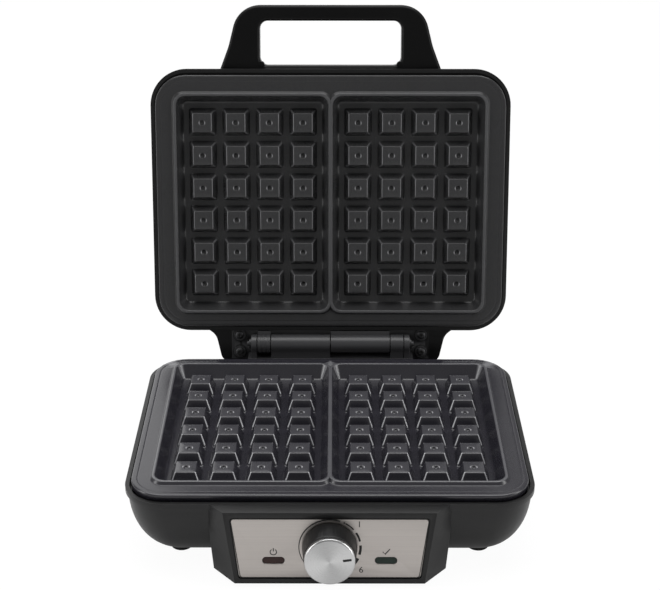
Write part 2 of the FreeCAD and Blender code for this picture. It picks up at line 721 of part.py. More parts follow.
def thermostat_brace():
    """Steel strap between the thermostat and the inside of the fascia."""
    strap = box(V(-BRACE_WIDTH / 2, -STAT_HEIGHT / 2, STAT_FACE),
                V(BRACE_WIDTH / 2, STAT_HEIGHT / 2, FASCIA_INSIDE - SEAT))
    return on_panel(strap.cut(bush_hole()))


def thermostat_body():
    """Thermostat block with the threaded bush that passes through the panel."""
    block = box(V(-STAT_WIDTH / 2, -STAT_HEIGHT / 2, STAT_FACE - STAT_DEEP),
                V(STAT_WIDTH / 2, STAT_HEIGHT / 2, STAT_FACE - SEAT))
    bush = rod(BUSH_RADIUS, V(0, 0, STAT_FACE - OVERRUN), V(0, 0, BUSH_TOP))
    bore = rod(SHAFT_RADIUS + PIN_CLEARANCE, V(0, 0, -SHAFT_TAIL - SEAT), V(0, 0, BUSH_TOP + OVERRUN))
    return on_panel(joined([block, bush]).cut(bore))


def thermostat_nut():
    """Hexagon nut that clamps the thermostat bush on the panel."""
    corner = NUT_FLATS / math.sqrt(3)
    turns = [math.radians(60 * side) for side in range(6)]
    corners = [V(corner * math.cos(turn), corner * math.sin(turn), PANEL_FACE) for turn in turns]
    blank = slab(Part.makePolygon(corners + corners[:1]), NUT_HEIGHT)
    thread = rod(BUSH_RADIUS + SEAT, V(0, 0, PANEL_FACE - OVERRUN), V(0, 0, OVERRUN + NUT_HEIGHT))
    return on_panel(blank.cut(thread))


# Dial pieces

def thermostat_shaft():
    """Spindle that the knob turns in the thermostat bush."""
    return on_panel(rod(SHAFT_RADIUS, V(0, 0, -SHAFT_TAIL), V(0, 0, SHAFT_TOP)))


def knob_skirt():
    """Black hollow body of the knob with a hub on the spindle."""
    foot = PANEL_FACE + KNOB_GAP
    top = KNOB_LENGTH - CAP_THICK
    profile = [(KNOB_RADIUS - KNOB_WALL, foot), (KNOB_RADIUS, foot), (KNOB_NECK_RADIUS, top),
               (0, top), (0, SHAFT_TOP + FIT), (SHAFT_RADIUS + SEAT, SHAFT_TOP + FIT),
               (SHAFT_RADIUS + SEAT, HUB_LIFT), (HUB_RADIUS, HUB_LIFT),
               (HUB_RADIUS, top - KNOB_WALL), (KNOB_NECK_RADIUS - KNOB_WALL, top - KNOB_WALL)]
    return on_panel(turned(profile))


def knob_cap():
    """Metal disc with a chamfered edge that faces the knob."""
    foot = KNOB_LENGTH - CAP_THICK + SEAT
    profile = [(0, foot), (CAP_RADIUS, foot), (CAP_RADIUS, KNOB_LENGTH - CAP_CHAMFER),
               (CAP_RADIUS - CAP_CHAMFER, KNOB_LENGTH), (0, KNOB_LENGTH)]
    return on_panel(turned(profile))


# Cord and wiring pieces in the base

def cord_gland():
    """Rubber strain relief through the rear wall, with a tapered boot."""
    wall = RIM_REAR - RIM_STEP
    inner = wall - BOWL_REAR_INSET / 2 - SHELL_WALL
    flange = rod(GLAND_FLANGE, V(GLAND_X, inner - GLAND_FLANGE_THICK, GLAND_Z), V(GLAND_X, inner, GLAND_Z))
    neck = rod(GLAND_NECK, V(GLAND_X, inner - OVERRUN, GLAND_Z), V(GLAND_X, wall + OVERRUN, GLAND_Z))
    boot = Part.makeCone(GLAND_BOOT_ROOT, GLAND_BOOT_TIP, GLAND_BOOT_LENGTH,
                         V(GLAND_X, wall + FIT, GLAND_Z), BACK)
    bore = rod(GLAND_BORE, V(GLAND_X, inner - GLAND_BOOT_LENGTH, GLAND_Z),
               V(GLAND_X, wall + 2 * GLAND_BOOT_LENGTH, GLAND_Z))
    return joined([flange, neck, boot]).cut(bore)


def terminal_block():
    """Wiring block on the floor of the base, with three clamp screws' wells."""
    floor = FOOT_HEIGHT + SHELL_WALL + SEAT
    low = V(BLOCK_X - BLOCK_WIDTH, BLOCK_Y - BLOCK_DEEP / 2, floor)
    block = box(low, low + V(BLOCK_WIDTH, BLOCK_DEEP, BLOCK_HEIGHT))
    for way in range(3):
        x = BLOCK_X - BLOCK_WIDTH * (way + 0.5) / 3
        block = block.cut(rod(SCREW_HEAD_RADIUS, V(x, BLOCK_Y, floor + BLOCK_HEIGHT / 2),
                              V(x, BLOCK_Y, floor + BLOCK_HEIGHT + OVERRUN)))
    return block


# Hinge pieces

def barrel(start, end):
    """Round knuckle on the hinge axis between two stations across."""
    return rod(BARREL_RADIUS, V(start, HINGE_Y, HINGE_Z), V(end, HINGE_Y, HINGE_Z))


def pin_bore():
    """Clearance hole for the hinge pin along the whole hinge."""
    reach = TAB_END + PIN_OVERHANG
    return rod(PIN_RADIUS + PIN_CLEARANCE, V(-reach, HINGE_Y, HINGE_Z), V(reach, HINGE_Y, HINGE_Z))


def base_spans():
    """Stations of the knuckles that belong to the base."""
    return [(-TAB_END, -TAB_START), (-BARREL_END, -BARREL_INNER),
            (KNUCKLE_START, KNUCKLE_END), (TAB_START, TAB_END)]


def lid_spans():
    """Stations of the knuckles that belong to the lid."""
    return [(-KNUCKLE_END, -KNUCKLE_START), (BARREL_INNER, BARREL_END)]


def bracket_screw_places():
    """Across and up places of the screws that hold the base bracket."""
    z = (BRACKET_FOOT + RIM_TOP - LEDGE_THICK) / 2
    outer = BRACKET_HALF - BARREL_RADIUS
    inner = BARREL_END / 2
    return [(x, z) for x in (-outer, -inner, inner, outer)]


def base_hinge_bracket():
    """Bracket on the rear of the bowl: plate, ledge and the base's knuckles; the ledge is the open stop."""
    plate = box(V(-BRACKET_HALF, BRACKET_FRONT, BRACKET_FOOT),
                V(BRACKET_HALF, BRACKET_FRONT + BRACKET_PLATE, RIM_TOP))
    ledge = box(V(-BRACKET_HALF, BRACKET_FRONT, RIM_TOP - LEDGE_THICK),
                V(BRACKET_HALF, HINGE_Y + LEDGE_PAST_AXIS, RIM_TOP))
    shapes = [plate, ledge]
    for start, end in base_spans():
        shapes.append(barrel(start, end))
        shapes.append(box(V(start, HINGE_Y - BARREL_RADIUS + OVERRUN, RIM_TOP - OVERRUN),
                          V(end, HINGE_Y + PIN_RADIUS, HINGE_Z - PIN_RADIUS)))
    bracket = joined(shapes).cut(pin_bore())
    for x, z in bracket_screw_places():
        start = V(x, BRACKET_FRONT - OVERRUN, z)
        bracket = bracket.cut(rod(HOLE_RADIUS, start, start + BACK * (BRACKET_PLATE + 2 * OVERRUN)))
    return bracket


def bracket_screws():
    """Four screws through the base bracket into the bowl's rear wall."""
    seat_y = BRACKET_FRONT + BRACKET_PLATE + SEAT
    length = BRACKET_PLATE + RIM_STEP + 2 * SHELL_WALL
    return Part.makeCompound([screw(V(x, seat_y, z), -BACK, length) for x, z in bracket_screw_places()])


def hinge_pin():
    """Steel pin through all the knuckles."""
    reach = TAB_END + PIN_OVERHANG
    return rod(PIN_RADIUS, V(-reach, HINGE_Y, HINGE_Z), V(reach, HINGE_Y, HINGE_Z))


def hinge_clips():
    """Two push-on rings that keep the pin in place."""
    rings = []
    for side in (-1, 1):
        start = V(side * (TAB_END + FIT), HINGE_Y, HINGE_Z)
        ring = rod(CLIP_RADIUS, start, start + ACROSS * (side * CLIP_THICK))
        rings.append(ring.cut(pin_bore()))
    return Part.makeCompound(rings)


def ring_places():
    """Plan centres of the four screws that hold the hinge leaf in the lid's tail."""
    return [(x, y) for x in (-RING_X, RING_X) for y in (HINGE_Y - RING_FRONT, HINGE_Y + RING_REAR)]


def lid_hinge_leaf():
    """Leaf under the lid's tail with the lid's knuckles and four raised screw rings."""
    leaf = box(V(-LEAF_HALF, HINGE_Y - LEAF_BEFORE_AXIS, LEAF_Z),
               V(LEAF_HALF, HINGE_Y + LEAF_PAST_AXIS, TAIL_Z))
    shapes = [leaf]
    for start, end in lid_spans():
        shapes.append(barrel(start, end))
        shapes.append(box(V(start, HINGE_Y - LEAF_BEFORE_AXIS, HINGE_Z + PIN_RADIUS),
                          V(end, HINGE_Y + PIN_RADIUS, LEAF_Z + SEAT)))
    for x, y in ring_places():
        shapes.append(rod(RING_RADIUS, V(x, y, LEAF_Z - RING_HEIGHT), V(x, y, LEAF_Z)))
    cuts = [pin_bore()]
    for x, y in ring_places():
        cuts.append(rod(RING_RADIUS - RING_WALL, V(x, y, LEAF_Z - RING_HEIGHT), V(x, y, LEAF_Z)))
        cuts.append(rod(HOLE_RADIUS, V(x, y, LEAF_Z - OVERRUN), V(x, y, TAIL_Z + OVERRUN)))
    return opened(joined(shapes).cut(Part.makeCompound(cuts)))


def leaf_screws():
    """Four screws that hold the hinge leaf in the lid's tail."""
    length = LEAF_THICK + TAIL_THICK / 2
    return opened(Part.makeCompound([screw(V(x, y, LEAF_Z), UP, length) for x, y in ring_places()]))


# Lid housing pieces

def lid_body(grow):
    """Outside of the lid's dome and rim, drawn closed."""
    half = RIM_HALF - LID_RIM_TRIM
    step = RIM_STEP - grow
    insets = (LID_INSET, LID_REAR_INSET, LID_TOP_CORNER)
    dome = bowl(half - step, RIM_FRONT + step, RIM_REAR - step, RIM_CORNER, insets,
                (LID_RIM_TOP, LID_TOP + grow))
    rim = slab(plan(half + grow, RIM_FRONT - grow, RIM_REAR + grow, RIM_CORNER, LID_RIM_FOOT),
               RIM_HEIGHT + grow)
    return joined([dome, rim])


def lid_tail():
    """Slab behind the lid that hoods the hinge."""
    root = RIM_REAR - RIM_STEP - SHELL_WALL / 2
    tip = HINGE_Y + TAIL_REACH
    flare = TAIL_HALF_ROOT + TAIL_FILLET
    bend = RIM_REAR + TAIL_FILLET / 2
    points = [(-flare, root), (flare, root), (TAIL_HALF_ROOT, bend), (TAIL_HALF_TIP, tip),
              (-TAIL_HALF_TIP, tip), (-TAIL_HALF_ROOT, bend)]
    corner = TAIL_TIP_CORNER
    wire = rounded_polygon(points, [0, 0, TAIL_FILLET, corner, corner, TAIL_FILLET], TAIL_Z + SEAT)
    block = slab(wire, TAIL_THICK)
    top = [edge for edge in block.Edges
           if edge.BoundBox.ZMin > TAIL_Z + TAIL_THICK and edge.BoundBox.YMax > RIM_REAR + TAIL_FILLET]
    return block.makeFillet(TAIL_EDGE, top)


def handle_screw_places():
    """Across places of the handle screws, two to a leg."""
    return [side * HANDLE_SCREW_X + pair * HANDLE_SCREW_PAIR / 2 for side in (-1, 1) for pair in (-1, 1)]


def cover_wire(grow, z):
    """Outline of the flush cover in the lid's top, grown by a clearance."""
    half = COVER_WIDTH / 2 + grow
    reach = COVER_DEPTH / 2 + grow
    return plan(half, -reach, reach, COVER_CORNER + grow, z)


def lid_shell():
    """Moulded lid: dome, rim, tail over the hinge, posts for the plate and a recess for the top cover."""
    half = RIM_HALF - LID_RIM_TRIM
    inset = RIM_STEP + SHELL_WALL
    insets = (LID_INSET, LID_REAR_INSET, LID_TOP_CORNER)
    hollow = bowl(half - inset, RIM_FRONT + inset, RIM_REAR - inset, RIM_CORNER - SHELL_WALL, insets,
                  (LID_RIM_TOP, LID_TOP - LID_TOP_WALL))
    mouth = slab(plan(half - RIM_WALL, RIM_FRONT + RIM_WALL, RIM_REAR - RIM_WALL, RIM_CORNER - RIM_WALL,
                      LID_RIM_FOOT - OVERRUN), RIM_HEIGHT + OVERRUN)
    shell = joined([lid_body(0), lid_tail()]).cut(hollow).cut(mouth)
    post_foot = UPPER_CREST_Z - PAN_FOOT
    seat = UPPER_CREST_Z - SCREW_SEAT
    ceiling = LID_TOP - LID_TOP_WALL + OVERRUN
    posts = [rod(POST_RADIUS, V(x, y, post_foot), V(x, y, ceiling)) for x, y in boss_places()]
    shell = joined([shell] + posts)
    cuts = [slab(cover_wire(FIT, COVER_FLOOR), COVER_THICK + OVERRUN)]
    for x, y in boss_places():
        cuts.append(rod(SCREW_HEAD_RADIUS + HEAD_ROOM, V(x, y, seat), V(x, y, LID_TOP)))
        cuts.append(rod(HOLE_RADIUS, V(x, y, post_foot - OVERRUN), V(x, y, seat)))
    for x in handle_screw_places():
        start = V(x, RIM_FRONT, PARTING_Z + HANDLE_RISE)
        cuts.append(rod(HOLE_RADIUS, start, start + BACK * (SHELL_WALL + 2 * RIM_STEP + OVERRUN)))
    for x, y in ring_places():
        cuts.append(rod(SCREW_RADIUS + SEAT, V(x, y, TAIL_Z - OVERRUN), V(x, y, TAIL_Z + TAIL_THICK / 2)))
    return opened(shell.cut(Part.makeCompound(cuts)))


def lid_cover():
    """Flush cover plate in the top of the lid."""
    return opened(slab(cover_wire(0, COVER_FLOOR + SEAT), COVER_THICK))


def handle_profile():
    """Plan outline of the handle loop, from inside the lid's front wall to the grip."""
    root = RIM_FRONT + RIM_STEP + SHELL_WALL
    waist = RIM_FRONT - HANDLE_WAIST_REACH
    grip = RIM_FRONT - HANDLE_REACH
    points = [(HANDLE_HALF_ROOT, root), (-HANDLE_HALF_ROOT, root), (-HANDLE_HALF_WAIST, waist),
              (-HANDLE_HALF_TOP, grip), (HANDLE_HALF_TOP, grip), (HANDLE_HALF_WAIST, waist)]
    radii = [0, 0, HANDLE_WAIST_BEND, HANDLE_CORNER, HANDLE_CORNER, HANDLE_WAIST_BEND]
    return rounded_polygon(points, radii, PARTING_Z + HANDLE_RISE - HANDLE_THICK / 2)


def handle():
    """Loop handle on the front of the lid, with an opening for the hand."""
    loop = slab(handle_profile(), HANDLE_THICK)
    base = PARTING_Z + HANDLE_RISE - HANDLE_THICK / 2
    window = slab(plan(HANDLE_WINDOW_HALF, RIM_FRONT - HANDLE_REACH + HANDLE_BAR, RIM_FRONT - HANDLE_FOOT_BAR,
                       HANDLE_WINDOW_CORNER, base), HANDLE_THICK)
    loop = loop.cut(window)
    root = RIM_FRONT + RIM_STEP
    rims = [edge for edge in loop.Edges
            if edge.BoundBox.ZLength < SEAT and edge.BoundBox.YMin < root]
    loop = loop.makeFillet(HANDLE_EDGE, rims).cut(lid_body(FIT))
    for x in handle_screw_places():
        start = V(x, root + OVERRUN, PARTING_Z + HANDLE_RISE)
        loop = loop.cut(rod(SCREW_RADIUS + SEAT, start, start - BACK * (HANDLE_SCREW_BITE + 2 * OVERRUN)))
    return opened(loop)


def handle_screws():
    """Screws from inside the lid that hold the handle's legs."""
    z = PARTING_Z + HANDLE_RISE
    heights = (LID_RIM_TOP, LID_TOP - LID_TOP_WALL)
    seat_y = RIM_FRONT + RIM_STEP + SHELL_WALL + roll_at(LID_INSET, heights, z + SCREW_HEAD_RADIUS) + FIT
    length = seat_y - RIM_FRONT - RIM_STEP + HANDLE_SCREW_BITE
    places = [V(x, seat_y, z) for x in handle_screw_places()]
    return opened(Part.makeCompound([screw(place, -BACK, length) for place in places]))


def pieces():
    """Every piece of the waffle maker by name, in the bench frame with the lid open."""
    plate = cooking_plate()
    tube = heater()
    pan = reflector()
    fixings = plate_screws()
    made = {
        "base_shell": base_shell(),
        "front_fascia": front_fascia(),
        "fascia_screws": fascia_screws(),
        "control_panel": control_panel(),
        "power_lens": lamp_lens(-1),
        "ready_lens": lamp_lens(1),
        "power_lamp": lamp(-1),
        "ready_lamp": lamp(1),
        "thermostat_brace": thermostat_brace(),
        "thermostat_body": thermostat_body(),
        "thermostat_nut": thermostat_nut(),
        "thermostat_shaft": thermostat_shaft(),
        "knob_skirt": knob_skirt(),
        "knob_cap": knob_cap(),
        "cord_gland": cord_gland(),
        "terminal_block": terminal_block(),
        "lower_plate": lower(plate),
        "lower_heater": lower(tube),
        "lower_reflector": lower(pan),
        "lower_plate_screws": lower(fixings),
        "thermal_fuse": lower(thermal_fuse()),
        "base_hinge_bracket": base_hinge_bracket(),
        "bracket_screws": bracket_screws(),
        "hinge_pin": hinge_pin(),
        "hinge_clips": hinge_clips(),
        "lid_hinge_leaf": lid_hinge_leaf(),
        "leaf_screws": leaf_screws(),
        "lid_shell": lid_shell(),
        "lid_cover": lid_cover(),
        "handle": handle(),
        "handle_screws": handle_screws(),
        "upper_plate": upper(plate),
        "upper_heater": upper(tube),
        "upper_reflector": upper(pan),
        "upper_plate_screws": upper(fixings),
    }
    names = ("front_left", "front_right", "rear_left", "rear_right")
    for name, (x, y) in zip(names, foot_places()):
        made["foot_" + name] = foot(x, y)
    return made


def main():
    """Build every piece, centre the open object on its footprint and write it out."""
    os.makedirs("parts", exist_ok=True)
    made = pieces()
    front = made["knob_cap"].optimalBoundingBox(False, False).YMin
    rear = made["lid_shell"].optimalBoundingBox(False, False).YMax
    for name, shape in made.items():
        placed = moved(shape, V(0, -(front + rear) / 2, 0))
        placed.exportStep(os.path.join("parts", name + ".step"))
        print(name, len(placed.Solids), placed.isValid(), round(placed.Volume / 1000, 2))
    print("hinge y", HINGE_Y - (front + rear) / 2, "dial y", DIAL_Y - (front + rear) / 2)


main()
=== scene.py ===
import json
import logging
import math
from dataclasses import dataclass, field
from enum import Enum
from typing import Any, Callable, Optional, Sequence, Union

import bmesh
import bpy
from mathutils import Matrix, Vector

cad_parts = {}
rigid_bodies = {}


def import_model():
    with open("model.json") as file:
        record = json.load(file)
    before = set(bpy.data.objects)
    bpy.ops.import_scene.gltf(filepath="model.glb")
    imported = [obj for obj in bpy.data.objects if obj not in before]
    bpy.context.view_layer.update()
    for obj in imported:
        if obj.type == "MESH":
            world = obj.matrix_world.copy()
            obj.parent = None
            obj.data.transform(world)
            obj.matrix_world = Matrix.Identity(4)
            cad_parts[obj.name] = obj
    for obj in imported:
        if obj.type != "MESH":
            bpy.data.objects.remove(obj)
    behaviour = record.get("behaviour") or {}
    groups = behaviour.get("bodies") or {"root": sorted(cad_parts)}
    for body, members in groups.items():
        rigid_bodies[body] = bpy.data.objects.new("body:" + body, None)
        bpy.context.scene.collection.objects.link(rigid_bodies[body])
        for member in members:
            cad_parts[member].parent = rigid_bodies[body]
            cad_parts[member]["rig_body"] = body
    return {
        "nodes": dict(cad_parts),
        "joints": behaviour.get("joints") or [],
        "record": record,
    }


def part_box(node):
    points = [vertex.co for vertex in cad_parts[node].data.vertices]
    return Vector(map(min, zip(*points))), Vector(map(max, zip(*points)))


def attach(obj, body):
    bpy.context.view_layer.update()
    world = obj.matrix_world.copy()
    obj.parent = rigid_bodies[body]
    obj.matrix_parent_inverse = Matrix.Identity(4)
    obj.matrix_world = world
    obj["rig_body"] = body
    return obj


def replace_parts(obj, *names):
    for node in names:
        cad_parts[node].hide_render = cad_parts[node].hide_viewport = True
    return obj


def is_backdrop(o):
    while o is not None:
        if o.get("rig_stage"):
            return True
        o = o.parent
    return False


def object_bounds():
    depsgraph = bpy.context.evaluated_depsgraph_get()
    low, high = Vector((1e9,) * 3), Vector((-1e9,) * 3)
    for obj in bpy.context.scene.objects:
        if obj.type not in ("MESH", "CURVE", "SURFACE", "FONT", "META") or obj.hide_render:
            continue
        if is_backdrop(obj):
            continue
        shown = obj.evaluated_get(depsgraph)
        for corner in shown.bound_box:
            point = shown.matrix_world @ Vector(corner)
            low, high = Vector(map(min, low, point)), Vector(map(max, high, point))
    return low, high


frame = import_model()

LOG = logging.getLogger("waffle_maker")

MM = 0.001
# Attribute and colour of the painted highlights and painted reflection streaks on the cooking plates
PAINTED_HIGHLIGHT = "painted_highlight"
PAINTED_HIGHLIGHT_COLOUR = (0.5, 0.5, 0.52)
WHITE = (1.0, 1.0, 1.0, 1.0)

# Millimetres and degrees within which points and faces count as one
WELD = 0.004
JOIN = 0.0005
FLAT_TURN = 0.6

# Waves to the metre of slow drift, and scratches along and across the brushed sheet
DRIFT_WAVES = 35.0
CLOUD_WAVES = 22.0
WINDOW_WAVES = 260.0
FINE_SCRATCH = (9.0, 5200.0, 5200.0)
BROAD_SCRATCH = (4.0, 700.0, 700.0)

# Loops of a peg, counted from its foot, that carry its painted highlights
CORNER_LEVELS = range(5, 9)
SIDE_LEVELS = range(7, 9)
TOP_LEVELS = range(9, 11)
LIP_LEVELS = range(11, 13)

Colour = tuple[float, float, float]
Point2 = tuple[float, float]
Point3 = tuple[float, float, float]
Loop = list[Point3]


# Shader maths and materials

class Num:
    """A shader value that can be used in Python arithmetic."""

    def __init__(self, graph: "Graph", socket: bpy.types.NodeSocket) -> None:
        """Wrap one output socket of a node graph."""
        self.graph = graph
        self.socket = socket

    def _math(self, operation: str, first: Any, second: Any) -> "Num":
        """Add one Math node.

        Args:
            operation: The Math node's operation.
            first: Left value, a number or another wrapped value.
            second: Right value, a number or another wrapped value.

        Returns:
            The wrapped result.
        """
        made = self.graph.node("ShaderNodeMath", {"operation": operation}, {0: first, 1: second})
        return Num(self.graph, made.outputs[0])

    def __add__(self, other: Any) -> "Num":
        """Sum of this value and another."""
        return self._math("ADD", self, other)

    def __radd__(self, other: Any) -> "Num":
        """Sum with a number on the left."""
        return self._math("ADD", other, self)

    def __sub__(self, other: Any) -> "Num":
        """This value less another."""
        return self._math("SUBTRACT", self, other)

    def __rsub__(self, other: Any) -> "Num":
        """A number less this value."""
        return self._math("SUBTRACT", other, self)

    def __mul__(self, other: Any) -> "Num":
        """Product of this value and another."""
        return self._math("MULTIPLY", self, other)

    def __rmul__(self, other: Any) -> "Num":
        """Product with a number on the left."""
        return self._math("MULTIPLY", other, self)

    def __pow__(self, other: Any) -> "Num":
        """This value to a power."""
        return self._math("POWER", self, other)

    def __rpow__(self, other: Any) -> "Num":
        """A number to the power of this value."""
        return self._math("POWER", other, self)

    def sine(self) -> "Num":
        """Sine of this value in radians."""
        return self._math("SINE", self, 0.0)

    def angle_to(self, across: "Num") -> "Num":
        """Angle whose tangent is this value over another."""
        return self._math("ARCTAN2", self, across)


class Graph:
    """A node tree with one method that makes any node."""

    def __init__(self, tree: bpy.types.NodeTree) -> None:
        """Start on an emptied tree."""
        self.tree = tree
        tree.nodes.clear()

    def node(self, kind: str, settings: Optional[dict[str, Any]] = None,
             inputs: Optional[dict[Union[str, int], Any]] = None) -> bpy.types.Node:
        """Make a node, set it up and feed its sockets.

        Args:
            kind: Node type, such as ShaderNodeMath.
            settings: Properties, set first.
            inputs: Values or links by socket name or place.

        Returns:
            The new node.
        """
        made = self.tree.nodes.new(kind)
        for key, value in (settings or {}).items():
            setattr(made, key, value)
        for key, value in (inputs or {}).items():
            target = made.inputs[key]
            if isinstance(value, Num):
                self.tree.links.new(value.socket, target)
            elif isinstance(value, bpy.types.NodeSocket):
                self.tree.links.new(value, target)
            else:
                target.default_value = value
        return made

    def num(self, node: bpy.types.Node, output: Union[str, int] = 0) -> Num:
        """Wrap one of a node's outputs."""
        return Num(self, node.outputs[output])

    def object_point(self) -> bpy.types.NodeSocket:
        """Object coordinates, in metres of the row frame."""
        return self.node("ShaderNodeTexCoord").outputs["Object"]

    def mapped(self, location: Point3 = (0, 0, 0), turn: Point3 = (0, 0, 0),
               scale: Point3 = (1, 1, 1), kind: str = "TEXTURE") -> bpy.types.NodeSocket:
        """Object coordinates seen from a placed, turned and scaled origin.

        Args:
            location: Where the pattern's origin lies.
            turn: Turn of the pattern, in radians.
            scale: Scale of the pattern.
            kind: Mapping type.

        Returns:
            The mapped vector socket.
        """
        made = self.node("ShaderNodeMapping", {"vector_type": kind},
                         {"Vector": self.object_point(), "Location": location, "Rotation": turn,
                          "Scale": scale})
        return made.outputs[0]

    def noise(self, scale: float, detail: float = 2.0,
              vector: Optional[bpy.types.NodeSocket] = None) -> Num:
        """Noise between 0 and 1 at a scale in waves to the metre.

        Args:
            scale: Waves to the metre.
            detail: Octaves.
            vector: Coordinates, or Object coordinates when left out.

        Returns:
            The wrapped noise value.
        """
        source = vector or self.object_point()
        made = self.node("ShaderNodeTexNoise", {}, {"Vector": source, "Scale": scale, "Detail": detail})
        return self.num(made, 0)

    def mix(self, share: Num, low: Union[Colour, bpy.types.NodeSocket], high: Colour) -> bpy.types.NodeSocket:
        """Colour between two by a share.

        Args:
            share: 0 for low, 1 for high.
            low: First colour, or the socket that gives it.
            high: Second colour.

        Returns:
            The colour socket.
        """
        first = low if isinstance(low, bpy.types.NodeSocket) else (*low, 1.0)
        made = self.node("ShaderNodeMix", {"data_type": "RGBA"}, {0: share, 6: first, 7: (*high, 1.0)})
        return made.outputs[2]

    def bump(self, height: Num, strength: float, distance: float) -> bpy.types.NodeSocket:
        """Normal bent by a height.

        Args:
            height: Height between 0 and 1.
            strength: How strongly it shows.
            distance: Height in metres of a value of 1.

        Returns:
            The normal socket.
        """
        made = self.node("ShaderNodeBump", {},
                         {"Strength": strength, "Distance": distance, "Height": height})
        return made.outputs[0]


class Grain(Enum):
    """Ways that a finish varies over its surface."""

    MOULDED = "moulded"
    COATED = "coated"
    BRUSHED = "brushed"
    SPUN = "spun"
    TINTED = "tinted"
    SPECKLED = "speckled"


RELIEF = {Grain.MOULDED: 0.00008, Grain.COATED: 0.00012, Grain.BRUSHED: 0.00002, Grain.SPUN: 0.00002,
          Grain.SPECKLED: 0.00006}


def shade(colour: Colour, factor: float) -> Colour:
    """A colour made darker or lighter by a factor."""
    return tuple(min(part * factor, 1.0) for part in colour)


@dataclass(frozen=True)
class Finish:
    """One surface finish, made once as a material."""

    name: str
    grain: Grain
    colour: Colour
    roughness: float
    metallic: float = 0.0
    specular: float = 0.5
    spread: float = 0.15
    rough_spread: float = 0.1
    bump: float = 0.1
    waves: float = 1500.0

    def material(self) -> bpy.types.Material:
        """The finish as a material, built at its first use."""
        found = bpy.data.materials.get(self.name)
        return found or self._build()

    def _build(self) -> bpy.types.Material:
        """Make the node tree of this finish.

        Returns:
            The new material.
        """
        material = bpy.data.materials.new(self.name)
        material.use_nodes = True
        graph = Graph(material.node_tree)
        builders: dict[Grain, Callable[[Graph], dict[str, Any]]] = {
            Grain.MOULDED: self._moulded, Grain.COATED: self._coated, Grain.BRUSHED: self._brushed,
            Grain.SPUN: self._spun, Grain.TINTED: self._tinted, Grain.SPECKLED: self._speckled}
        inputs = {"Roughness": self.roughness, "Metallic": self.metallic,
                  "Specular IOR Level": self.specular}
        inputs.update(builders[self.grain](graph))
        principled = graph.node("ShaderNodeBsdfPrincipled", {}, inputs)
        graph.node("ShaderNodeOutputMaterial", {}, {"Surface": principled.outputs[0]})
        return material

    def _tone(self, graph: Graph, share: Num) -> bpy.types.NodeSocket:
        """The base colour, drifting by the finish's spread."""
        return graph.mix(share, shade(self.colour, 1 - self.spread), shade(self.colour, 1 + self.spread))

    def _moulded(self, graph: Graph) -> dict[str, Any]:
        """Spark-eroded mould grain with slow drift in gloss."""
        grain = graph.noise(self.waves, 3.0)
        drift = graph.noise(DRIFT_WAVES, 2.0)
        return {"Base Color": self._tone(graph, drift * 0.6 + grain * 0.4),
                "Roughness": self.roughness + (drift - 0.5) * self.rough_spread,
                "Normal": graph.bump(grain, self.bump, RELIEF[self.grain])}

    def _coated(self, graph: Graph) -> dict[str, Any]:
        """Sprayed coating: fine orange peel, specks and a slow cloudiness, with painted highlights mixed in
        from the painted highlight attribute.
        """
        peel = graph.noise(self.waves, 2.0)
        specks = graph.noise(self.waves * 2.4, 1.0)
        cloud = graph.noise(CLOUD_WAVES, 3.0)
        # Share of painted highlight colour, stored per vertex on the cooking plates
        edge = graph.num(graph.node("ShaderNodeAttribute", {"attribute_name": PAINTED_HIGHLIGHT}), "Fac")
        return {"Base Color": graph.mix(edge, self._tone(graph, cloud * 0.5 + specks * 0.5), PAINTED_HIGHLIGHT_COLOUR),
                "Roughness": self.roughness + (cloud - 0.5) * self.rough_spread + (specks - 0.5) * 0.12,
                "Normal": graph.bump(peel * 0.7 + specks * 0.3, self.bump, RELIEF[self.grain])}

    def _brushed(self, graph: Graph) -> dict[str, Any]:
        """Long straight scratches across the panel."""
        fine = graph.noise(1.0, 3.0, graph.mapped(scale=FINE_SCRATCH, kind="POINT"))
        broad = graph.noise(1.0, 2.0, graph.mapped(scale=BROAD_SCRATCH, kind="POINT"))
        streak = fine * 0.6 + broad * 0.4
        return {"Base Color": self._tone(graph, streak),
                "Roughness": self.roughness + (streak - 0.5) * self.rough_spread,
                "Normal": graph.bump(streak, self.bump, RELIEF[self.grain])}

    def _spun(self, graph: Graph) -> dict[str, Any]:
        """Turned disc: fine rings round the dial's axis, and soft bright fans in the colour, a painted sheen
        standing for the light on its turned grooves.
        """
        dial = Dial()
        spot = graph.mapped(location=tuple(dial.centre()), turn=(math.radians(90) - dial.tilt(), 0, 0))
        parts = graph.node("ShaderNodeSeparateXYZ", {}, {0: spot})
        across = graph.num(parts, 0)
        along = graph.num(parts, 1)
        radius = (across * across + along * along) ** 0.5
        ring = graph.node("ShaderNodeTexNoise", {"noise_dimensions": "1D"},
                          {"W": radius * self.waves, "Scale": 1.0, "Detail": 2.0})
        rings = graph.num(ring, 0)
        # Painted sheen: brighter fans by angle round the axis, standing for the reflection on the turned
        # grooves
        painted_fan_sheen = (along.angle_to(across) * 2.0 + 0.9).sine() * 0.5 + 0.5
        return {"Base Color": self._tone(graph, painted_fan_sheen * 0.75 + rings * 0.25),
                "Roughness": self.roughness + (rings - 0.5) * self.rough_spread,
                "Normal": graph.bump(rings, self.bump, RELIEF[self.grain])}

    def _tinted(self, graph: Graph) -> dict[str, Any]:
        """Tinted window with a faint inner cloud."""
        cloud = graph.noise(WINDOW_WAVES, 2.0)
        return {"Base Color": self._tone(graph, cloud),
                "Roughness": self.roughness + (cloud - 0.5) * self.rough_spread}

    def _speckled(self, graph: Graph) -> dict[str, Any]:
        """Plain material with fine specks, for rubber, ink, ceramic and rolled metal."""
        specks = graph.noise(self.waves, 3.0)
        return {"Base Color": self._tone(graph, specks),
                "Roughness": self.roughness + (specks - 0.5) * self.rough_spread,
                "Normal": graph.bump(specks, self.bump, RELIEF[self.grain])}


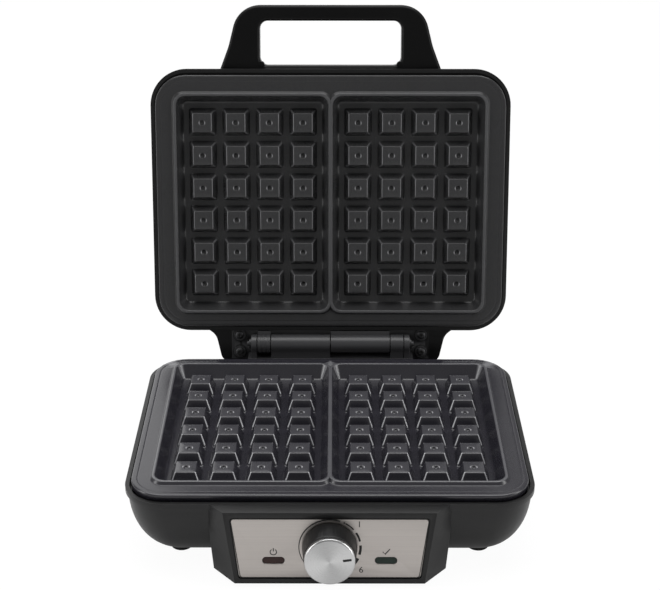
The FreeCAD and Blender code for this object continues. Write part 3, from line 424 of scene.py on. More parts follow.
BODY = Finish("black_moulding", Grain.MOULDED, (0.005, 0.005, 0.0052), 0.38, specular=0.33, waves=2600.0)
GRIP = Finish("grip_moulding", Grain.MOULDED, (0.003, 0.003, 0.0031), 0.34, specular=0.14, waves=2600.0)
# The two plates share one real coating; the lower plate's copy has a darker colour, which is painted shade
LOWER_COATING_PAINTED_SHADE = Finish("lower_coating_painted_shade", Grain.COATED, (0.0195, 0.0186, 0.0245), 0.26, specular=0.65,
                       spread=0.12, bump=0.09, waves=1700.0)
UPPER_COATING = Finish("upper_coating", Grain.COATED, (0.0285, 0.0285, 0.0295), 0.28, specular=0.36,
                       spread=0.12, bump=0.16, waves=1700.0)
HINGE_GREY = Finish("hinge_coating", Grain.COATED, (0.04, 0.04, 0.0425), 0.34, specular=0.42, waves=1700.0)
STEEL = Finish("brushed_panel", Grain.BRUSHED, (0.40, 0.372, 0.352), 0.32, metallic=1.0, spread=0.16,
               rough_spread=0.22, bump=0.3)
SPUN_METAL = Finish("spun_cap", Grain.SPUN, (0.45, 0.45, 0.45), 0.28, metallic=1.0, spread=0.22,
                    rough_spread=0.2, bump=0.35, waves=5200.0)
RED_WINDOW = Finish("red_window", Grain.TINTED, (0.030, 0.010, 0.008), 0.3, specular=0.25)
GREEN_WINDOW = Finish("green_window", Grain.TINTED, (0.007, 0.021, 0.014), 0.3, specular=0.25)
LAMP_GLASS = Finish("clear_lamp", Grain.TINTED, (0.5, 0.3, 0.2), 0.12)
RUBBER = Finish("foot_rubber", Grain.SPECKLED, (0.012, 0.012, 0.012), 0.75, specular=0.3, waves=1800.0)
# Ink of the print, also the dark colour of painted shade: the line round the panel and the crosses in the
# leaf's screws
INK_AND_PAINTED_SHADE = Finish("ink_and_painted_shade", Grain.SPECKLED, (0.010, 0.010, 0.010), 0.55, specular=0.3, waves=5000.0)
PLAIN_STEEL = Finish("plain_steel", Grain.SPECKLED, (0.35, 0.35, 0.36), 0.36, metallic=1.0, bump=0.06)
DARK_STEEL = Finish("blackened_steel", Grain.SPECKLED, (0.05, 0.05, 0.052), 0.42, metallic=0.9, bump=0.08)
SHEATH = Finish("heater_sheath", Grain.SPECKLED, (0.16, 0.14, 0.12), 0.5, metallic=1.0, spread=0.3)
SHEET_METAL = Finish("reflector_sheet", Grain.BRUSHED, (0.62, 0.62, 0.63), 0.3, metallic=1.0)
CERAMIC = Finish("ceramic_block", Grain.SPECKLED, (0.62, 0.59, 0.54), 0.6, bump=0.12)


# Mesh helpers

def body_of(node: str) -> str:
    """Name of the body that a CAD node rides on."""
    return frame["nodes"][node]["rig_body"]


def slot_of(node: str) -> str:
    """Record material slot of a CAD node."""
    slots = {part["node"]: part["material_slot"] for part in frame["record"]["subparts"]}
    return slots[node]


def link(mesh: bpy.types.Mesh, name: str) -> bpy.types.Object:
    """New object at the origin that shows a mesh."""
    made = bpy.data.objects.new(name, mesh)
    bpy.context.scene.collection.objects.link(made)
    return made


def joint_of(name: str) -> dict[str, Any]:
    """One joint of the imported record."""
    return next(joint for joint in frame["joints"] if joint["name"] == name)


def hinge_axis() -> Vector:
    """Middle of the hinge pin."""
    low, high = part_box("hinge_pin")
    return (low + high) / 2


def swung() -> Matrix:
    """From the shut lid to the lid as it rests, about the hinge in the row frame."""
    joint = joint_of("lid_hinge")
    hinge = Matrix.Translation(joint["pos_m"])
    return hinge @ Matrix.Rotation(-math.radians(joint["range_deg"][1]), 4, "X") @ hinge.inverted()


def evaluated(source: bpy.types.Object) -> bpy.types.Mesh:
    """Plain mesh of an object with modifiers, or of a curve.

    Args:
        source: The object to evaluate; it is removed.

    Returns:
        The mesh with the object's place in it.
    """
    bpy.context.view_layer.update()
    shown = source.evaluated_get(bpy.context.evaluated_depsgraph_get())
    mesh = bpy.data.meshes.new_from_object(shown)
    mesh.transform(source.matrix_world)
    bpy.data.objects.remove(source)
    return mesh


def meshed(shape: bmesh.types.BMesh, name: str) -> bpy.types.Mesh:
    """Free a mesh being built into a finished mesh."""
    mesh = bpy.data.meshes.new(name)
    shape.to_mesh(mesh)
    shape.free()
    return mesh


def joined(meshes: Sequence[bpy.types.Mesh], name: str) -> bpy.types.Mesh:
    """One mesh from several in the same frame, with their doubles merged."""
    shape = bmesh.new()
    for mesh in meshes:
        shape.from_mesh(mesh)
    bmesh.ops.remove_doubles(shape, verts=shape.verts, dist=JOIN * MM)
    return meshed(shape, name)


def settle(piece: bpy.types.Object, finish: Finish, body: str, slot: str,
           angle: float = 35.0) -> bpy.types.Object:
    """Dress a finished piece and let it ride on its body.

    Args:
        piece: Mesh object at the origin.
        finish: Its finish.
        body: The body it moves with.
        slot: The record's slot it stands for; not used.
        angle: Edges sharper than this stay sharp, in degrees.

    Returns:
        The same piece.
    """
    mesh = piece.data
    if not mesh.materials:
        mesh.materials.append(finish.material())
    mesh.shade_smooth()
    mesh.set_sharp_from_angle(angle=math.radians(angle))
    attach(piece, body)
    LOG.info("%s: %d faces on %s", piece.name, len(mesh.polygons), body)
    return piece


@dataclass(frozen=True)
class Softening:
    """How the edges of a CAD node are eased into a moulded or cast look.

    Flats larger than flat_area, in square millimetres, are lined with a border; 0 lines none.
    """

    width: float
    segments: int = 3
    angle: float = 28.0
    flat_area: float = 0.0
    border: float = 0.3

    def skin(self, node: str, finish: Finish) -> bpy.types.Object:
        """Copy a node, ease its edges and let the copy stand for it.

        Args:
            node: CAD node to copy.
            finish: Finish of the copy.

        Returns:
            The finished piece.
        """
        mesh = frame["nodes"][node].data.copy()
        mesh.materials.clear()
        shape = bmesh.new()
        shape.from_mesh(mesh)
        bmesh.ops.remove_doubles(shape, verts=shape.verts, dist=WELD * MM)
        bmesh.ops.dissolve_limit(shape, angle_limit=math.radians(FLAT_TURN), verts=shape.verts,
                                 edges=shape.edges)
        shape.to_mesh(mesh)
        shape.free()
        rough = link(mesh, node + "_rough")
        bevel = rough.modifiers.new("eased", "BEVEL")
        bevel.width = self.width * MM
        bevel.segments = self.segments
        bevel.limit_method = "ANGLE"
        bevel.angle_limit = math.radians(self.angle)
        bevel.use_clamp_overlap = True
        bevel.miter_outer = "MITER_ARC"
        piece = link(evaluated(rough), node + "_skin")
        if self.flat_area > 0:
            self._line_flats(piece.data)
        settle(piece, finish, body_of(node), slot_of(node))
        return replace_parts(piece, node)

    def _line_flats(self, mesh: bpy.types.Mesh) -> None:
        """Line large flats with a narrow border, so that they shade flat beside rounded edges."""
        shape = bmesh.new()
        shape.from_mesh(mesh)
        flats = [face for face in shape.faces if face.calc_area() > self.flat_area * MM * MM]
        bmesh.ops.inset_individual(shape, faces=flats, thickness=self.border * MM, use_even_offset=True)
        shape.to_mesh(mesh)
        shape.free()


def dress(finish: Finish, *nodes: str) -> None:
    """Give CAD nodes that stay as they are a finish."""
    for node in nodes:
        mesh = frame["nodes"][node].data
        mesh.materials.clear()
        mesh.materials.append(finish.material())


def rounded(half_x: float, half_y: float, corner: float, arc_steps: int, side_steps: int) -> list[Point2]:
    """Rounded rectangle about the origin, counter-clockwise from the right side's foot.

    Args:
        half_x: Half its width.
        half_y: Half its depth.
        corner: Corner radius.
        arc_steps: Chords in each corner.
        side_steps: Chords in each side.

    Returns:
        The points, as many for every rectangle with the same steps.
    """
    middles = ((1, 1, 0), (-1, 1, 90), (-1, -1, 180), (1, -1, 270))
    corners: list[list[Point2]] = []
    for sign_x, sign_y, start in middles:
        centre = (sign_x * (half_x - corner), sign_y * (half_y - corner))
        arc: list[Point2] = []
        for step in range(arc_steps + 1):
            angle = math.radians(start + 90 * step / arc_steps)
            arc.append((centre[0] + corner * math.cos(angle), centre[1] + corner * math.sin(angle)))
        corners.append(arc)
    points: list[Point2] = []
    for place, arc in enumerate(corners):
        points.extend(arc)
        begin = Vector(arc[-1])
        end = Vector(corners[(place + 1) % 4][0])
        points.extend(tuple(begin.lerp(end, step / side_steps)) for step in range(1, side_steps))
    return points


def lofted(loops: Sequence[Loop]) -> bmesh.types.BMesh:
    """Closed skin through a chain of loops, with a flat cap on the first and last.

    Args:
        loops: Loops with equally many points, from the first cap to the last.

    Returns:
        The mesh being built.
    """
    shape = bmesh.new()
    rings = [[shape.verts.new(point) for point in loop] for loop in loops]
    size = len(rings[0])
    for lower, upper in zip(rings, rings[1:]):
        for place in range(size):
            after = (place + 1) % size
            shape.faces.new((lower[place], lower[after], upper[after], upper[place]))
    shape.faces.new(rings[0][::-1])
    shape.faces.new(rings[-1])
    return shape


def collar(radius: float, height: float, width: float, sunk: float = 0.6, steps: int = 48) -> bpy.types.Mesh:
    """Rounded ring about the x axis, in millimetres.

    Args:
        radius: Radius of the barrel it sits on.
        height: How far it stands proud.
        width: Width along the axis.
        sunk: How far it goes into the barrel.
        steps: Number of chords.

    Returns:
        The closed mesh about the origin.
    """
    rings = ((radius - sunk, -0.5), (radius + height * 0.6, -0.5), (radius + height, -0.25),
             (radius + height, 0.25), (radius + height * 0.6, 0.5), (radius - sunk, 0.5))
    angles = [step * math.tau / steps for step in range(steps)]
    shape = bmesh.new()
    loops = [[shape.verts.new((place * width, reach * math.cos(angle), reach * math.sin(angle)))
              for angle in angles] for reach, place in rings]
    for lower, upper in zip(loops, loops[1:] + loops[:1]):
        for turn in range(steps):
            after = (turn + 1) % steps
            shape.faces.new((lower[turn], lower[after], upper[after], upper[turn]))
    bmesh.ops.recalc_face_normals(shape, faces=shape.faces)
    return meshed(shape, "collar")


# Sub-assemblies

@dataclass
class Dial:
    """Place and print of the dial on the sloping panel."""

    ring_radius: float = 18.2
    pointer_turn: float = 82.0
    pointer_inner: float = 0.52
    pointer_outer: float = 0.86
    pointer_width: float = 1.5

    def centre(self) -> Vector:
        """Where the dial's axis meets the plane of the fascia."""
        return Vector(joint_of("dial_turn")["pos_m"])

    def normal(self) -> Vector:
        """Outward normal of the panel."""
        return Vector(joint_of("dial_turn")["axis"]).normalized()

    def tilt(self) -> float:
        """How far the panel leans back, in radians."""
        return math.asin(self.normal().z)

    def plane(self) -> Matrix:
        """Panel plane: x across, y up the panel, z outwards, in the row frame."""
        turn = Matrix.Rotation(math.radians(90) - self.tilt(), 4, "X")
        return Matrix.Translation(self.centre()) @ turn

    def reach(self, node: str) -> float:
        """How far a node stands out along the panel normal.

        Args:
            node: CAD node.

        Returns:
            The furthest distance from the panel plane, in metres.
        """
        corner = self.plane().inverted()
        return max((corner @ vertex.co).z for vertex in frame["nodes"][node].data.vertices)

    def cap_radius(self) -> float:
        """Radius of the metal cap."""
        low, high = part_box("knob_cap")
        return (high.x - low.x) / 2

    def build(self) -> None:
        """Dress the knob and lay the pointer on its cap."""
        Softening(0.7, 4).skin("knob_skirt", BODY)
        Softening(0.25).skin("knob_cap", SPUN_METAL)
        dress(PLAIN_STEEL, "thermostat_shaft")
        self._pointer()

    def _pointer(self) -> None:
        """Dark dash let into the cap near its edge."""
        radius = self.cap_radius()
        turn = math.radians(90 - self.pointer_turn)
        along = Vector((math.cos(turn), math.sin(turn)))
        side = Vector((-along.y, along.x)) * (self.pointer_width * MM / 2)
        ends = [along * (radius * self.pointer_inner), along * (radius * self.pointer_outer)]
        outline = [ends[0] - side, ends[1] - side, ends[1] + side, ends[0] + side]
        sheet = DarkStrokes(self, self.reach("knob_cap")).patch([(point.x, point.y) for point in outline])
        settle(link(sheet, "knob_pointer"), INK_AND_PAINTED_SHADE, "dial", slot_of("knob_skirt"))


@dataclass
class DarkStrokes:
    """Thin dark shapes on the panel plane, print and painted shade alike, lifted in metres to the surface
    that carries them.
    """

    dial: Dial
    lift: float
    thick: float = 0.04
    figure_scale: float = 1.4

    def patch(self, outline: Sequence[Point2]) -> bpy.types.Mesh:
        """Thin closed sheet with a plan outline.

        Args:
            outline: Corner points on the panel plane, in metres.

        Returns:
            The mesh in the row frame.
        """
        shape = bmesh.new()
        face = shape.faces.new([shape.verts.new((x, y, self.lift)) for x, y in outline])
        raised = bmesh.ops.extrude_face_region(shape, geom=[face])["geom"]
        tops = [item for item in raised if isinstance(item, bmesh.types.BMVert)]
        bmesh.ops.translate(shape, verts=tops, vec=(0, 0, self.thick * MM))
        bmesh.ops.recalc_face_normals(shape, faces=shape.faces)
        mesh = meshed(shape, "print")
        mesh.transform(self.dial.plane())
        return mesh

    def ribbon(self, path: Sequence[Point2], widths: Sequence[float]) -> bpy.types.Mesh:
        """Stroke of changing width along a path.

        Args:
            path: Points of the middle line, in mm on the panel.
            widths: Width at each point, in mm.

        Returns:
            The mesh in the row frame.
        """
        left: list[Point2] = []
        right: list[Point2] = []
        for place, (point, width) in enumerate(zip(path, widths)):
            before = Vector(path[max(place - 1, 0)])
            after = Vector(path[min(place + 1, len(path) - 1)])
            along = (after - before).normalized()
            side = Vector((-along.y, along.x)) * width / 2
            left.append(tuple((Vector(point) + side) * MM))
            right.append(tuple((Vector(point) - side) * MM))
        return self.patch(left + right[::-1])

    def arc(self, middle: Point2, radius: float, span: Point2, widths: Point2,
            steps: int = 64) -> bpy.types.Mesh:
        """Curved stroke round a point.

        Args:
            middle: Centre, in mm on the panel.
            radius: Radius in mm.
            span: First and last angle in degrees.
            widths: First and last width in mm.
            steps: Number of chords.

        Returns:
            The mesh in the row frame.
        """
        path: list[Point2] = []
        wide: list[float] = []
        for step in range(steps + 1):
            share = step / steps
            angle = math.radians(span[0] + (span[1] - span[0]) * share)
            path.append((middle[0] + radius * math.cos(angle), middle[1] + radius * math.sin(angle)))
            wide.append(widths[0] + (widths[1] - widths[0]) * share)
        return self.ribbon(path, wide)

    def figure(self, text: str, middle: Point2, height: float) -> bpy.types.Mesh:
        """One plain digit.

        Args:
            text: The digit.
            middle: Its centre, in mm on the panel.
            height: Its height in mm.

        Returns:
            The mesh in the row frame.
        """
        curve = bpy.data.curves.new("figure", "FONT")
        curve.body = text
        curve.align_x = "CENTER"
        curve.align_y = "CENTER"
        curve.size = height * MM * self.figure_scale
        curve.extrude = self.thick * MM / 2
        source = bpy.data.objects.new("figure", curve)
        bpy.context.scene.collection.objects.link(source)
        mesh = evaluated(source)
        spot = (middle[0] * MM, middle[1] * MM, self.lift + self.thick * MM / 2)
        mesh.transform(self.dial.plane() @ Matrix.Translation(spot))
        return mesh


@dataclass
class Repeat:
    """A row of like pieces made with Geometry Nodes."""

    name: str
    count: int
    step: Vector
    growth: float = 0.0

    @staticmethod
    def _tree() -> bpy.types.NodeTree:
        """The node tree shared by every row, built at its first use.

        Returns:
            The tree with its named inputs.
        """
        found = bpy.data.node_groups.get("row_of_pieces")
        if found:
            return found
        tree = bpy.data.node_groups.new("row_of_pieces", "GeometryNodeTree")
        sockets = (("Template", "Object"), ("Count", "Int"), ("Step", "Vector"), ("Growth", "Float"),
                   ("Finish", "Material"))
        graph = Graph(tree)
        tree.interface.new_socket("Geometry", in_out="INPUT", socket_type="NodeSocketGeometry")
        for label, kind in sockets:
            tree.interface.new_socket(label, in_out="INPUT", socket_type="NodeSocket" + kind)
        tree.interface.new_socket("Geometry", in_out="OUTPUT", socket_type="NodeSocketGeometry")
        given = graph.node("NodeGroupInput").outputs
        index = graph.node("GeometryNodeInputIndex").outputs[0]
        place = graph.node("ShaderNodeVectorMath", {"operation": "SCALE"},
                           {0: given["Step"], "Scale": index})
        extra = graph.node("ShaderNodeMath", {"operation": "MULTIPLY_ADD"},
                           {0: given["Growth"], 1: index, 2: 1.0})
        points = graph.node("GeometryNodePoints", {},
                            {"Count": given["Count"], "Position": place.outputs[0]})
        shown = graph.node("GeometryNodeObjectInfo", {"transform_space": "RELATIVE"},
                           {"Object": given["Template"]})
        copies = graph.node("GeometryNodeInstanceOnPoints", {},
                            {"Points": points.outputs[0], "Instance": shown.outputs["Geometry"],
                             "Scale": extra.outputs[0]})
        solid = graph.node("GeometryNodeRealizeInstances", {}, {0: copies.outputs[0]})
        dressed = graph.node("GeometryNodeSetMaterial", {},
                             {"Geometry": solid.outputs[0], "Material": given["Finish"]})
        graph.node("NodeGroupOutput", {}, {0: dressed.outputs[0]})
        return tree

    def mesh(self, template: bpy.types.Mesh, finish: Finish) -> bpy.types.Mesh:
        """Repeat a template.

        Args:
            template: Mesh of the first copy, drawn about the origin it grows from.
            finish: Finish of the copies.

        Returns:
            The realised mesh.
        """
        tree = self._tree()
        pattern = link(template, self.name + "_template")
        host = link(bpy.data.meshes.new(self.name), self.name + "_host")
        modifier = host.modifiers.new("row", "NODES")
        modifier.node_group = tree
        values = {"Template": pattern, "Count": self.count, "Step": self.step, "Growth": self.growth,
                  "Finish": finish.material()}
        for item in tree.interface.items_tree:
            if item.in_out == "INPUT" and item.name in values:
                modifier[item.identifier] = values[item.name]
        mesh = evaluated(host)
        bpy.data.objects.remove(pattern)
        return mesh


@dataclass
class ControlPanel:
    """Fascia, brushed panel, lamp windows, the print round the dial and a painted shade line round the panel.
    """

    dial: Dial = field(default_factory=Dial)
    ring_start: float = 232.0
    ring_end: float = 70.0
    ring_widths: Point2 = (0.35, 1.1)
    dot_angle: float = 62.0
    dot_radius: float = 0.55
    dash_start: float = 49.5
    dash_turn: float = -27.8
    dash_count: int = 4
    dash_size: Point2 = (6.2, 0.85)
    dash_growth: float = 0.42
    low_mark: Point2 = (17.4, 15.0)
    high_mark: Point2 = (18.6, -15.4)
    mark_height: float = 4.0
    lamp_x: float = 33.3
    # Place, width and corners of the painted shade line round the panel's edge
    border_inset: float = 0.25
    border_width: float = 0.5
    border_corner: float = 1.8
    border_steps: int = 6
    side_lean: float = 4.7
    sign_y: float = -3.3
    sign_radius: float = 1.9
    power_span: Point2 = (122.0, 418.0)
    stroke: float = 0.55

    def build(self) -> None:
        """Build the skins, the prints and the painted shade line of the panel."""
        Softening(0.4).skin("front_fascia", BODY)
        Softening(0.3).skin("control_panel", STEEL)
        Softening(0.35).skin("power_lens", RED_WINDOW)
        Softening(0.35).skin("ready_lens", GREEN_WINDOW)
        dress(LAMP_GLASS, "power_lamp", "ready_lamp")
        dress(PLAIN_STEEL, "fascia_screws", "thermostat_brace", "thermostat_nut")
        dress(CERAMIC, "thermostat_body")
        dark_strokes = DarkStrokes(self.dial, self.dial.reach("control_panel"))
        self._edge_shade(dark_strokes)
        self._scale(dark_strokes)
        self._signs(dark_strokes)

    def _joined_dark_strokes(self, meshes: Sequence[bpy.types.Mesh], name: str) -> None:
        """Join dark strokes into one piece on the panel; they are print, except the line round its edge,
        which is painted shade.
        """
        settle(link(joined(meshes, name), name), INK_AND_PAINTED_SHADE, "base", slot_of("control_panel"))

    def _edge_shade(self, dark_strokes: DarkStrokes) -> None:
        """Dark line round the edge of the steel panel, painted shade of the gap where the panel meets the
        fascia.
        """
        flat = self.dial.plane().inverted()
        spots = [flat @ vertex.co for vertex in frame["nodes"]["control_panel"].data.vertices]
        top = max(spot.y for spot in spots) / MM - self.border_inset
        foot = min(spot.y for spot in spots) / MM + self.border_inset
        wide = max(spot.x for spot in spots) / MM - self.border_inset
        narrow = wide - self.side_lean
        round_by = self.border_corner
        path: list[Point2] = []
        for place, (x, y) in enumerate(((wide, top), (-wide, top), (-narrow, foot), (narrow, foot))):
            middle = Vector((x - math.copysign(round_by, x), y - math.copysign(round_by, y)))
            for step in range(self.border_steps + 1):
                angle = math.radians(90 * (place + step / self.border_steps))
                path.append((middle.x + round_by * math.cos(angle), middle.y + round_by * math.sin(angle)))
        path.append(path[0])
        self._joined_dark_strokes([dark_strokes.ribbon(path, [self.border_width] * len(path))], "panel_border")

    def _scale(self, dark_strokes: DarkStrokes) -> None:
        """Ring, dot and dashes round the dial; the dashes widen clockwise."""
        ring = self.dial.ring_radius
        turn = math.radians(self.dot_angle)
        dot = (ring * math.cos(turn), ring * math.sin(turn))
        strokes = [dark_strokes.arc((0, 0), ring, (self.ring_start, self.ring_end), self.ring_widths),
                   dark_strokes.arc(dot, self.dot_radius / 2, (0, 359), (self.dot_radius, self.dot_radius), 24)]
        self._joined_dark_strokes(strokes, "scale_ring")
        half = math.degrees(self.dash_size[0] / 2 / ring)
        dashes = []
        for place in range(self.dash_count):
            wide = self.dash_size[1] * (1 + self.dash_growth * place)
            angle = self.dash_start + self.dash_turn * place
            dashes.append(dark_strokes.arc((0, 0), ring, (angle - half, angle + half), (wide, wide), 8))
        self._joined_dark_strokes(dashes, "scale_dashes")

    def _signs(self, dark_strokes: DarkStrokes) -> None:
        """Plain digits at the ends of the scale and a sign over each lamp."""
        figures = [dark_strokes.figure("1", self.low_mark, self.mark_height),
                   dark_strokes.figure("6", self.high_mark, self.mark_height)]
        self._joined_dark_strokes(figures, "scale_figures")
        x, y, size, thin = self.lamp_x, self.sign_y, self.sign_radius, self.stroke
        power = [dark_strokes.arc((-x, y), size, self.power_span, (thin, thin), 40),
                 dark_strokes.ribbon([(-x, y + size * 0.2), (-x, y + size * 1.35)], (thin, thin))]
        self._joined_dark_strokes(power, "power_sign")
        path = [(x - size * 1.05, y + size * 0.15), (x - size * 0.3, y - size * 0.75),
                (x + size * 1.2, y + size * 1.1)]
        self._joined_dark_strokes([dark_strokes.ribbon(path, (thin, thin * 1.5, thin))], "ready_sign")


@dataclass
class BaseHousing:
    """Lower moulding, feet, gland and what is shut inside it."""

    edge: float = 0.7
    flat_area: float = 400.0
    foot_edge: float = 0.5
    gland_edge: float = 0.4
    boot_length: float = 20.0
    rib_count: int = 5
    rib_radius: float = 5.6
    rib_height: float = 1.5
    rib_width: float = 1.6
    rib_inset: float = 2.5
    rib_shrink: float = -0.055
    rib_step: float = 3.2

    def build(self) -> None:
        """Build the skins of the lower housing and dress its inside."""
        Softening(self.edge, flat_area=self.flat_area).skin("base_shell", BODY)
        for end in ("front_left", "front_right", "rear_left", "rear_right"):
            Softening(self.foot_edge).skin("foot_" + end, RUBBER)
        Softening(self.gland_edge).skin("cord_gland", RUBBER)
        self._gland_ribs()
        dress(CERAMIC, "terminal_block", "thermal_fuse")
        dress(SHEATH, "lower_heater")
        dress(SHEET_METAL, "lower_reflector")
        dress(PLAIN_STEEL, "lower_plate_screws")

    def _gland_ribs(self) -> None:
        """Ribs round the strain relief's boot, smaller towards its tip."""
        low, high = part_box("cord_gland")
        rib = collar(self.rib_radius, self.rib_height, self.rib_width)
        rib.transform(Matrix.Rotation(math.radians(90), 4, "Z"))
        row = Repeat("gland_rib", self.rib_count, Vector((0, self.rib_step, 0)), growth=self.rib_shrink)
        ribs = row.mesh(rib, RUBBER)
        back = high.y - (self.boot_length - self.rib_inset) * MM
        start = Vector(((low.x + high.x) / 2, back, (low.z + high.z) / 2))
        ribs.transform(Matrix.Translation(start) @ Matrix.Scale(MM, 4))
        settle(link(ribs, "gland_ribs"), RUBBER, "base", slot_of("cord_gland"))


@dataclass
class CookingPlate:
    """One coated casting: skirted flange, two beaded cavities and their pegs.

    Sizes are in millimetres and the plate is drawn crest up at height nought.
    """

    node: str
    coating: Finish
    width: float = 240.0
    depth: float = 175.0
    corner: float = 21.0
    flange: float = -2.0
    skirt: float = -6.5
    skirt_wall: float = 2.6
    underside: float = -5.0
    tray: float = -13.0
    cavity_width: float = 104.5
    cavity_length: float = 149.5
    cavity_corner: float = 7.0
    deep: float = 10.0
    setback: float = 1.0
    divider: float = 2.4
    pitch_x: float = 23.0
    pitch_y: float = 22.46
    columns: int = 4
    rows: int = 6
    hinge_rise: float = 3.0
    overlap: float = 4.0
    arc_steps: int = 8
    side_steps: int = 20
    peg_steps: tuple[int, int] = (5, 4)
    sharp_angle: float = 50.0
    # Painted highlight on the bead crests above crest_height, and painted reflection streaks on the rear
    # cavity corners within streak_height and streak_turn
    crest_height: float = -0.1
    streak_height: Point2 = (-9.0, -0.2)
    streak_turn: Point2 = (30.0, 62.0)
    # Shares of painted highlight colour; the streaks are painted reflections of the backdrop light
    corner_painted_highlight: float = 1.0
    dimple_painted_highlight: float = 1.0
    side_painted_highlight: float = 0.0
    top_painted_highlight: float = 0.07
    crest_painted_highlight: float = 0.15
    streak_painted_reflection: float = 0.31

    def centre(self) -> float:
        """Distance of each cavity from the middle."""
        return (self.cavity_width + self.divider) / 2

    def bowl_profile(self) -> Loop:
        """Growth of the cavity outline, height and corner radius, from the floor to the flange."""
        return [(-6.2, -self.deep, 2.2), (-5.0, -9.93, 2.4), (-4.3, -9.6, 2.8), (-3.8, -8.95, 3.2),
                (-0.55, -1.15, 6.4), (-0.36, -0.62, 6.6), (-0.1, -0.24, 6.9), (0.18, -0.05, 7.1),
                (0.45, 0.0, 7.2), (1.15, 0.0, 7.4), (1.5, -0.07, 7.6), (1.75, -0.3, 7.8),
                (2.6, -1.72, 8.1), (2.74, -1.9, 8.2), (2.9, -1.98, 8.3), (3.1, -2.0, 8.4)]

    def edge_profile(self) -> list[tuple[float, float]]:
        """Inset from the plate outline and height, from the flange over the skirt to the underside."""
        below = ((4.6, 0.0), (4.2, 0.03), (3.9, 0.12), (3.6, 0.12), (3.3, 0.03), (2.9, 0.01), (1.1, 0.03),
                 (0.6, 0.16), (0.26, 0.42), (0.06, 0.8), (0.0, 1.2))
        hem = [(0.0, self.skirt + 0.4), (0.12, self.skirt + 0.12), (0.4, self.skirt),
               (self.skirt_wall - 0.3, self.skirt), (self.skirt_wall, self.skirt + 0.3),
               (self.skirt_wall, self.underside)]
        return [(inset, self.flange - drop) for inset, drop in below] + hem

    def top_height(self, x: float, y: float) -> float:
        """Height of the plate's top at a plan point outside the right cavity.

        Args:
            x: Across, from the middle.
            y: Rearward, from the middle.

        Returns:
            The height, by the point's distance from the cavity's mouth.
        """
        core_x = self.cavity_width / 2 - self.cavity_corner
        core_y = self.cavity_length / 2 - self.cavity_corner
        out_x = max(abs(x - self.centre()) - core_x, 0.0)
        out_y = max(abs(y - self.setback) - core_y, 0.0)
        grow = math.hypot(out_x, out_y) - self.cavity_corner
        profile = self.bowl_profile()
        for (first, high, _), (second, low, _) in zip(profile, profile[1:]):
            if first <= grow <= second:
                return high + (low - high) * (grow - first) / (second - first)
        return self.flange

    def half(self) -> bpy.types.Mesh:
        """Right half of the casting, cut on the middle plane.

        Returns:
            The mesh in plate millimetres.
        """
        loops: list[Loop] = []
        for grow, height, corner in self.bowl_profile():
            outline = rounded(self.cavity_width / 2 + grow, self.cavity_length / 2 + grow, corner,
                              self.arc_steps, self.side_steps)
            placed = [(x + self.centre(), y + self.setback) for x, y in outline]
            loops.append([self._kept(x, y, height, True) for x, y in placed])
        for inset, height in self.edge_profile():
            loops.append(self._wide(self.width / 2 - inset, self.depth / 2 - inset, 0.0,
                                    self.corner - inset, height))
        tray_half = self.centre() + self.cavity_width / 2
        for height in (self.underside, self.tray):
            loops.append(self._wide(tray_half, self.cavity_length / 2, self.setback,
                                    self.cavity_corner, height))
        shape = lofted(loops[::-1])
        flat = [face for face in shape.faces if max(vertex.co.x for vertex in face.verts) < 0.0001]
        bmesh.ops.delete(shape, geom=flat, context="FACES")
        bmesh.ops.remove_doubles(shape, verts=shape.verts, dist=0.001)
        bmesh.ops.dissolve_degenerate(shape, dist=0.0005, edges=shape.edges)
        mesh = meshed(shape, self.node + "_half")
        painted_highlights = mesh.attributes.new(PAINTED_HIGHLIGHT, "FLOAT", "POINT")
        for place, vertex in enumerate(mesh.vertices):
            painted_highlights.data[place].value = self._painted_casting_highlight(vertex.co)
        return mesh

    def _painted_casting_highlight(self, point: Vector) -> float:
        """How far a point of the casting is painted bright: painted highlight on the bead crests and painted
        reflection streaks in the rear cavity corners.
        """
        if point.z > self.crest_height:
            return self.crest_painted_highlight
        out_x = abs(point.x - self.centre()) - self.cavity_width / 2 + self.cavity_corner
        out_y = point.y - self.setback - self.cavity_length / 2 + self.cavity_corner
        turn = math.degrees(math.atan2(out_y, out_x))
        foot, top = self.streak_height
        first, last = self.streak_turn
        on_wall = foot < point.z < top and out_x > 0 and out_y > 0
        return self.streak_painted_reflection if on_wall and first < turn < last else 0.0

    def _kept(self, x: float, y: float, height: float, top: bool) -> Point3:
        """A point held on the right of the middle plane."""
        if x > 0:
            return (x, y, height)
        return (0.0, y, self.top_height(0.0, y) if top else height)

    def _wide(self, half_x: float, half_y: float, shift: float, corner: float, height: float) -> Loop:
        """Loop of the whole plate's outline, held on the right of the middle plane."""
        over = corner + self.overlap
        outline = rounded((half_x + over) / 2, half_y, corner, self.arc_steps, self.side_steps)
        placed = [(x + (half_x - over) / 2, y + shift) for x, y in outline]
        return [self._kept(x, y, height, False) for x, y in placed]

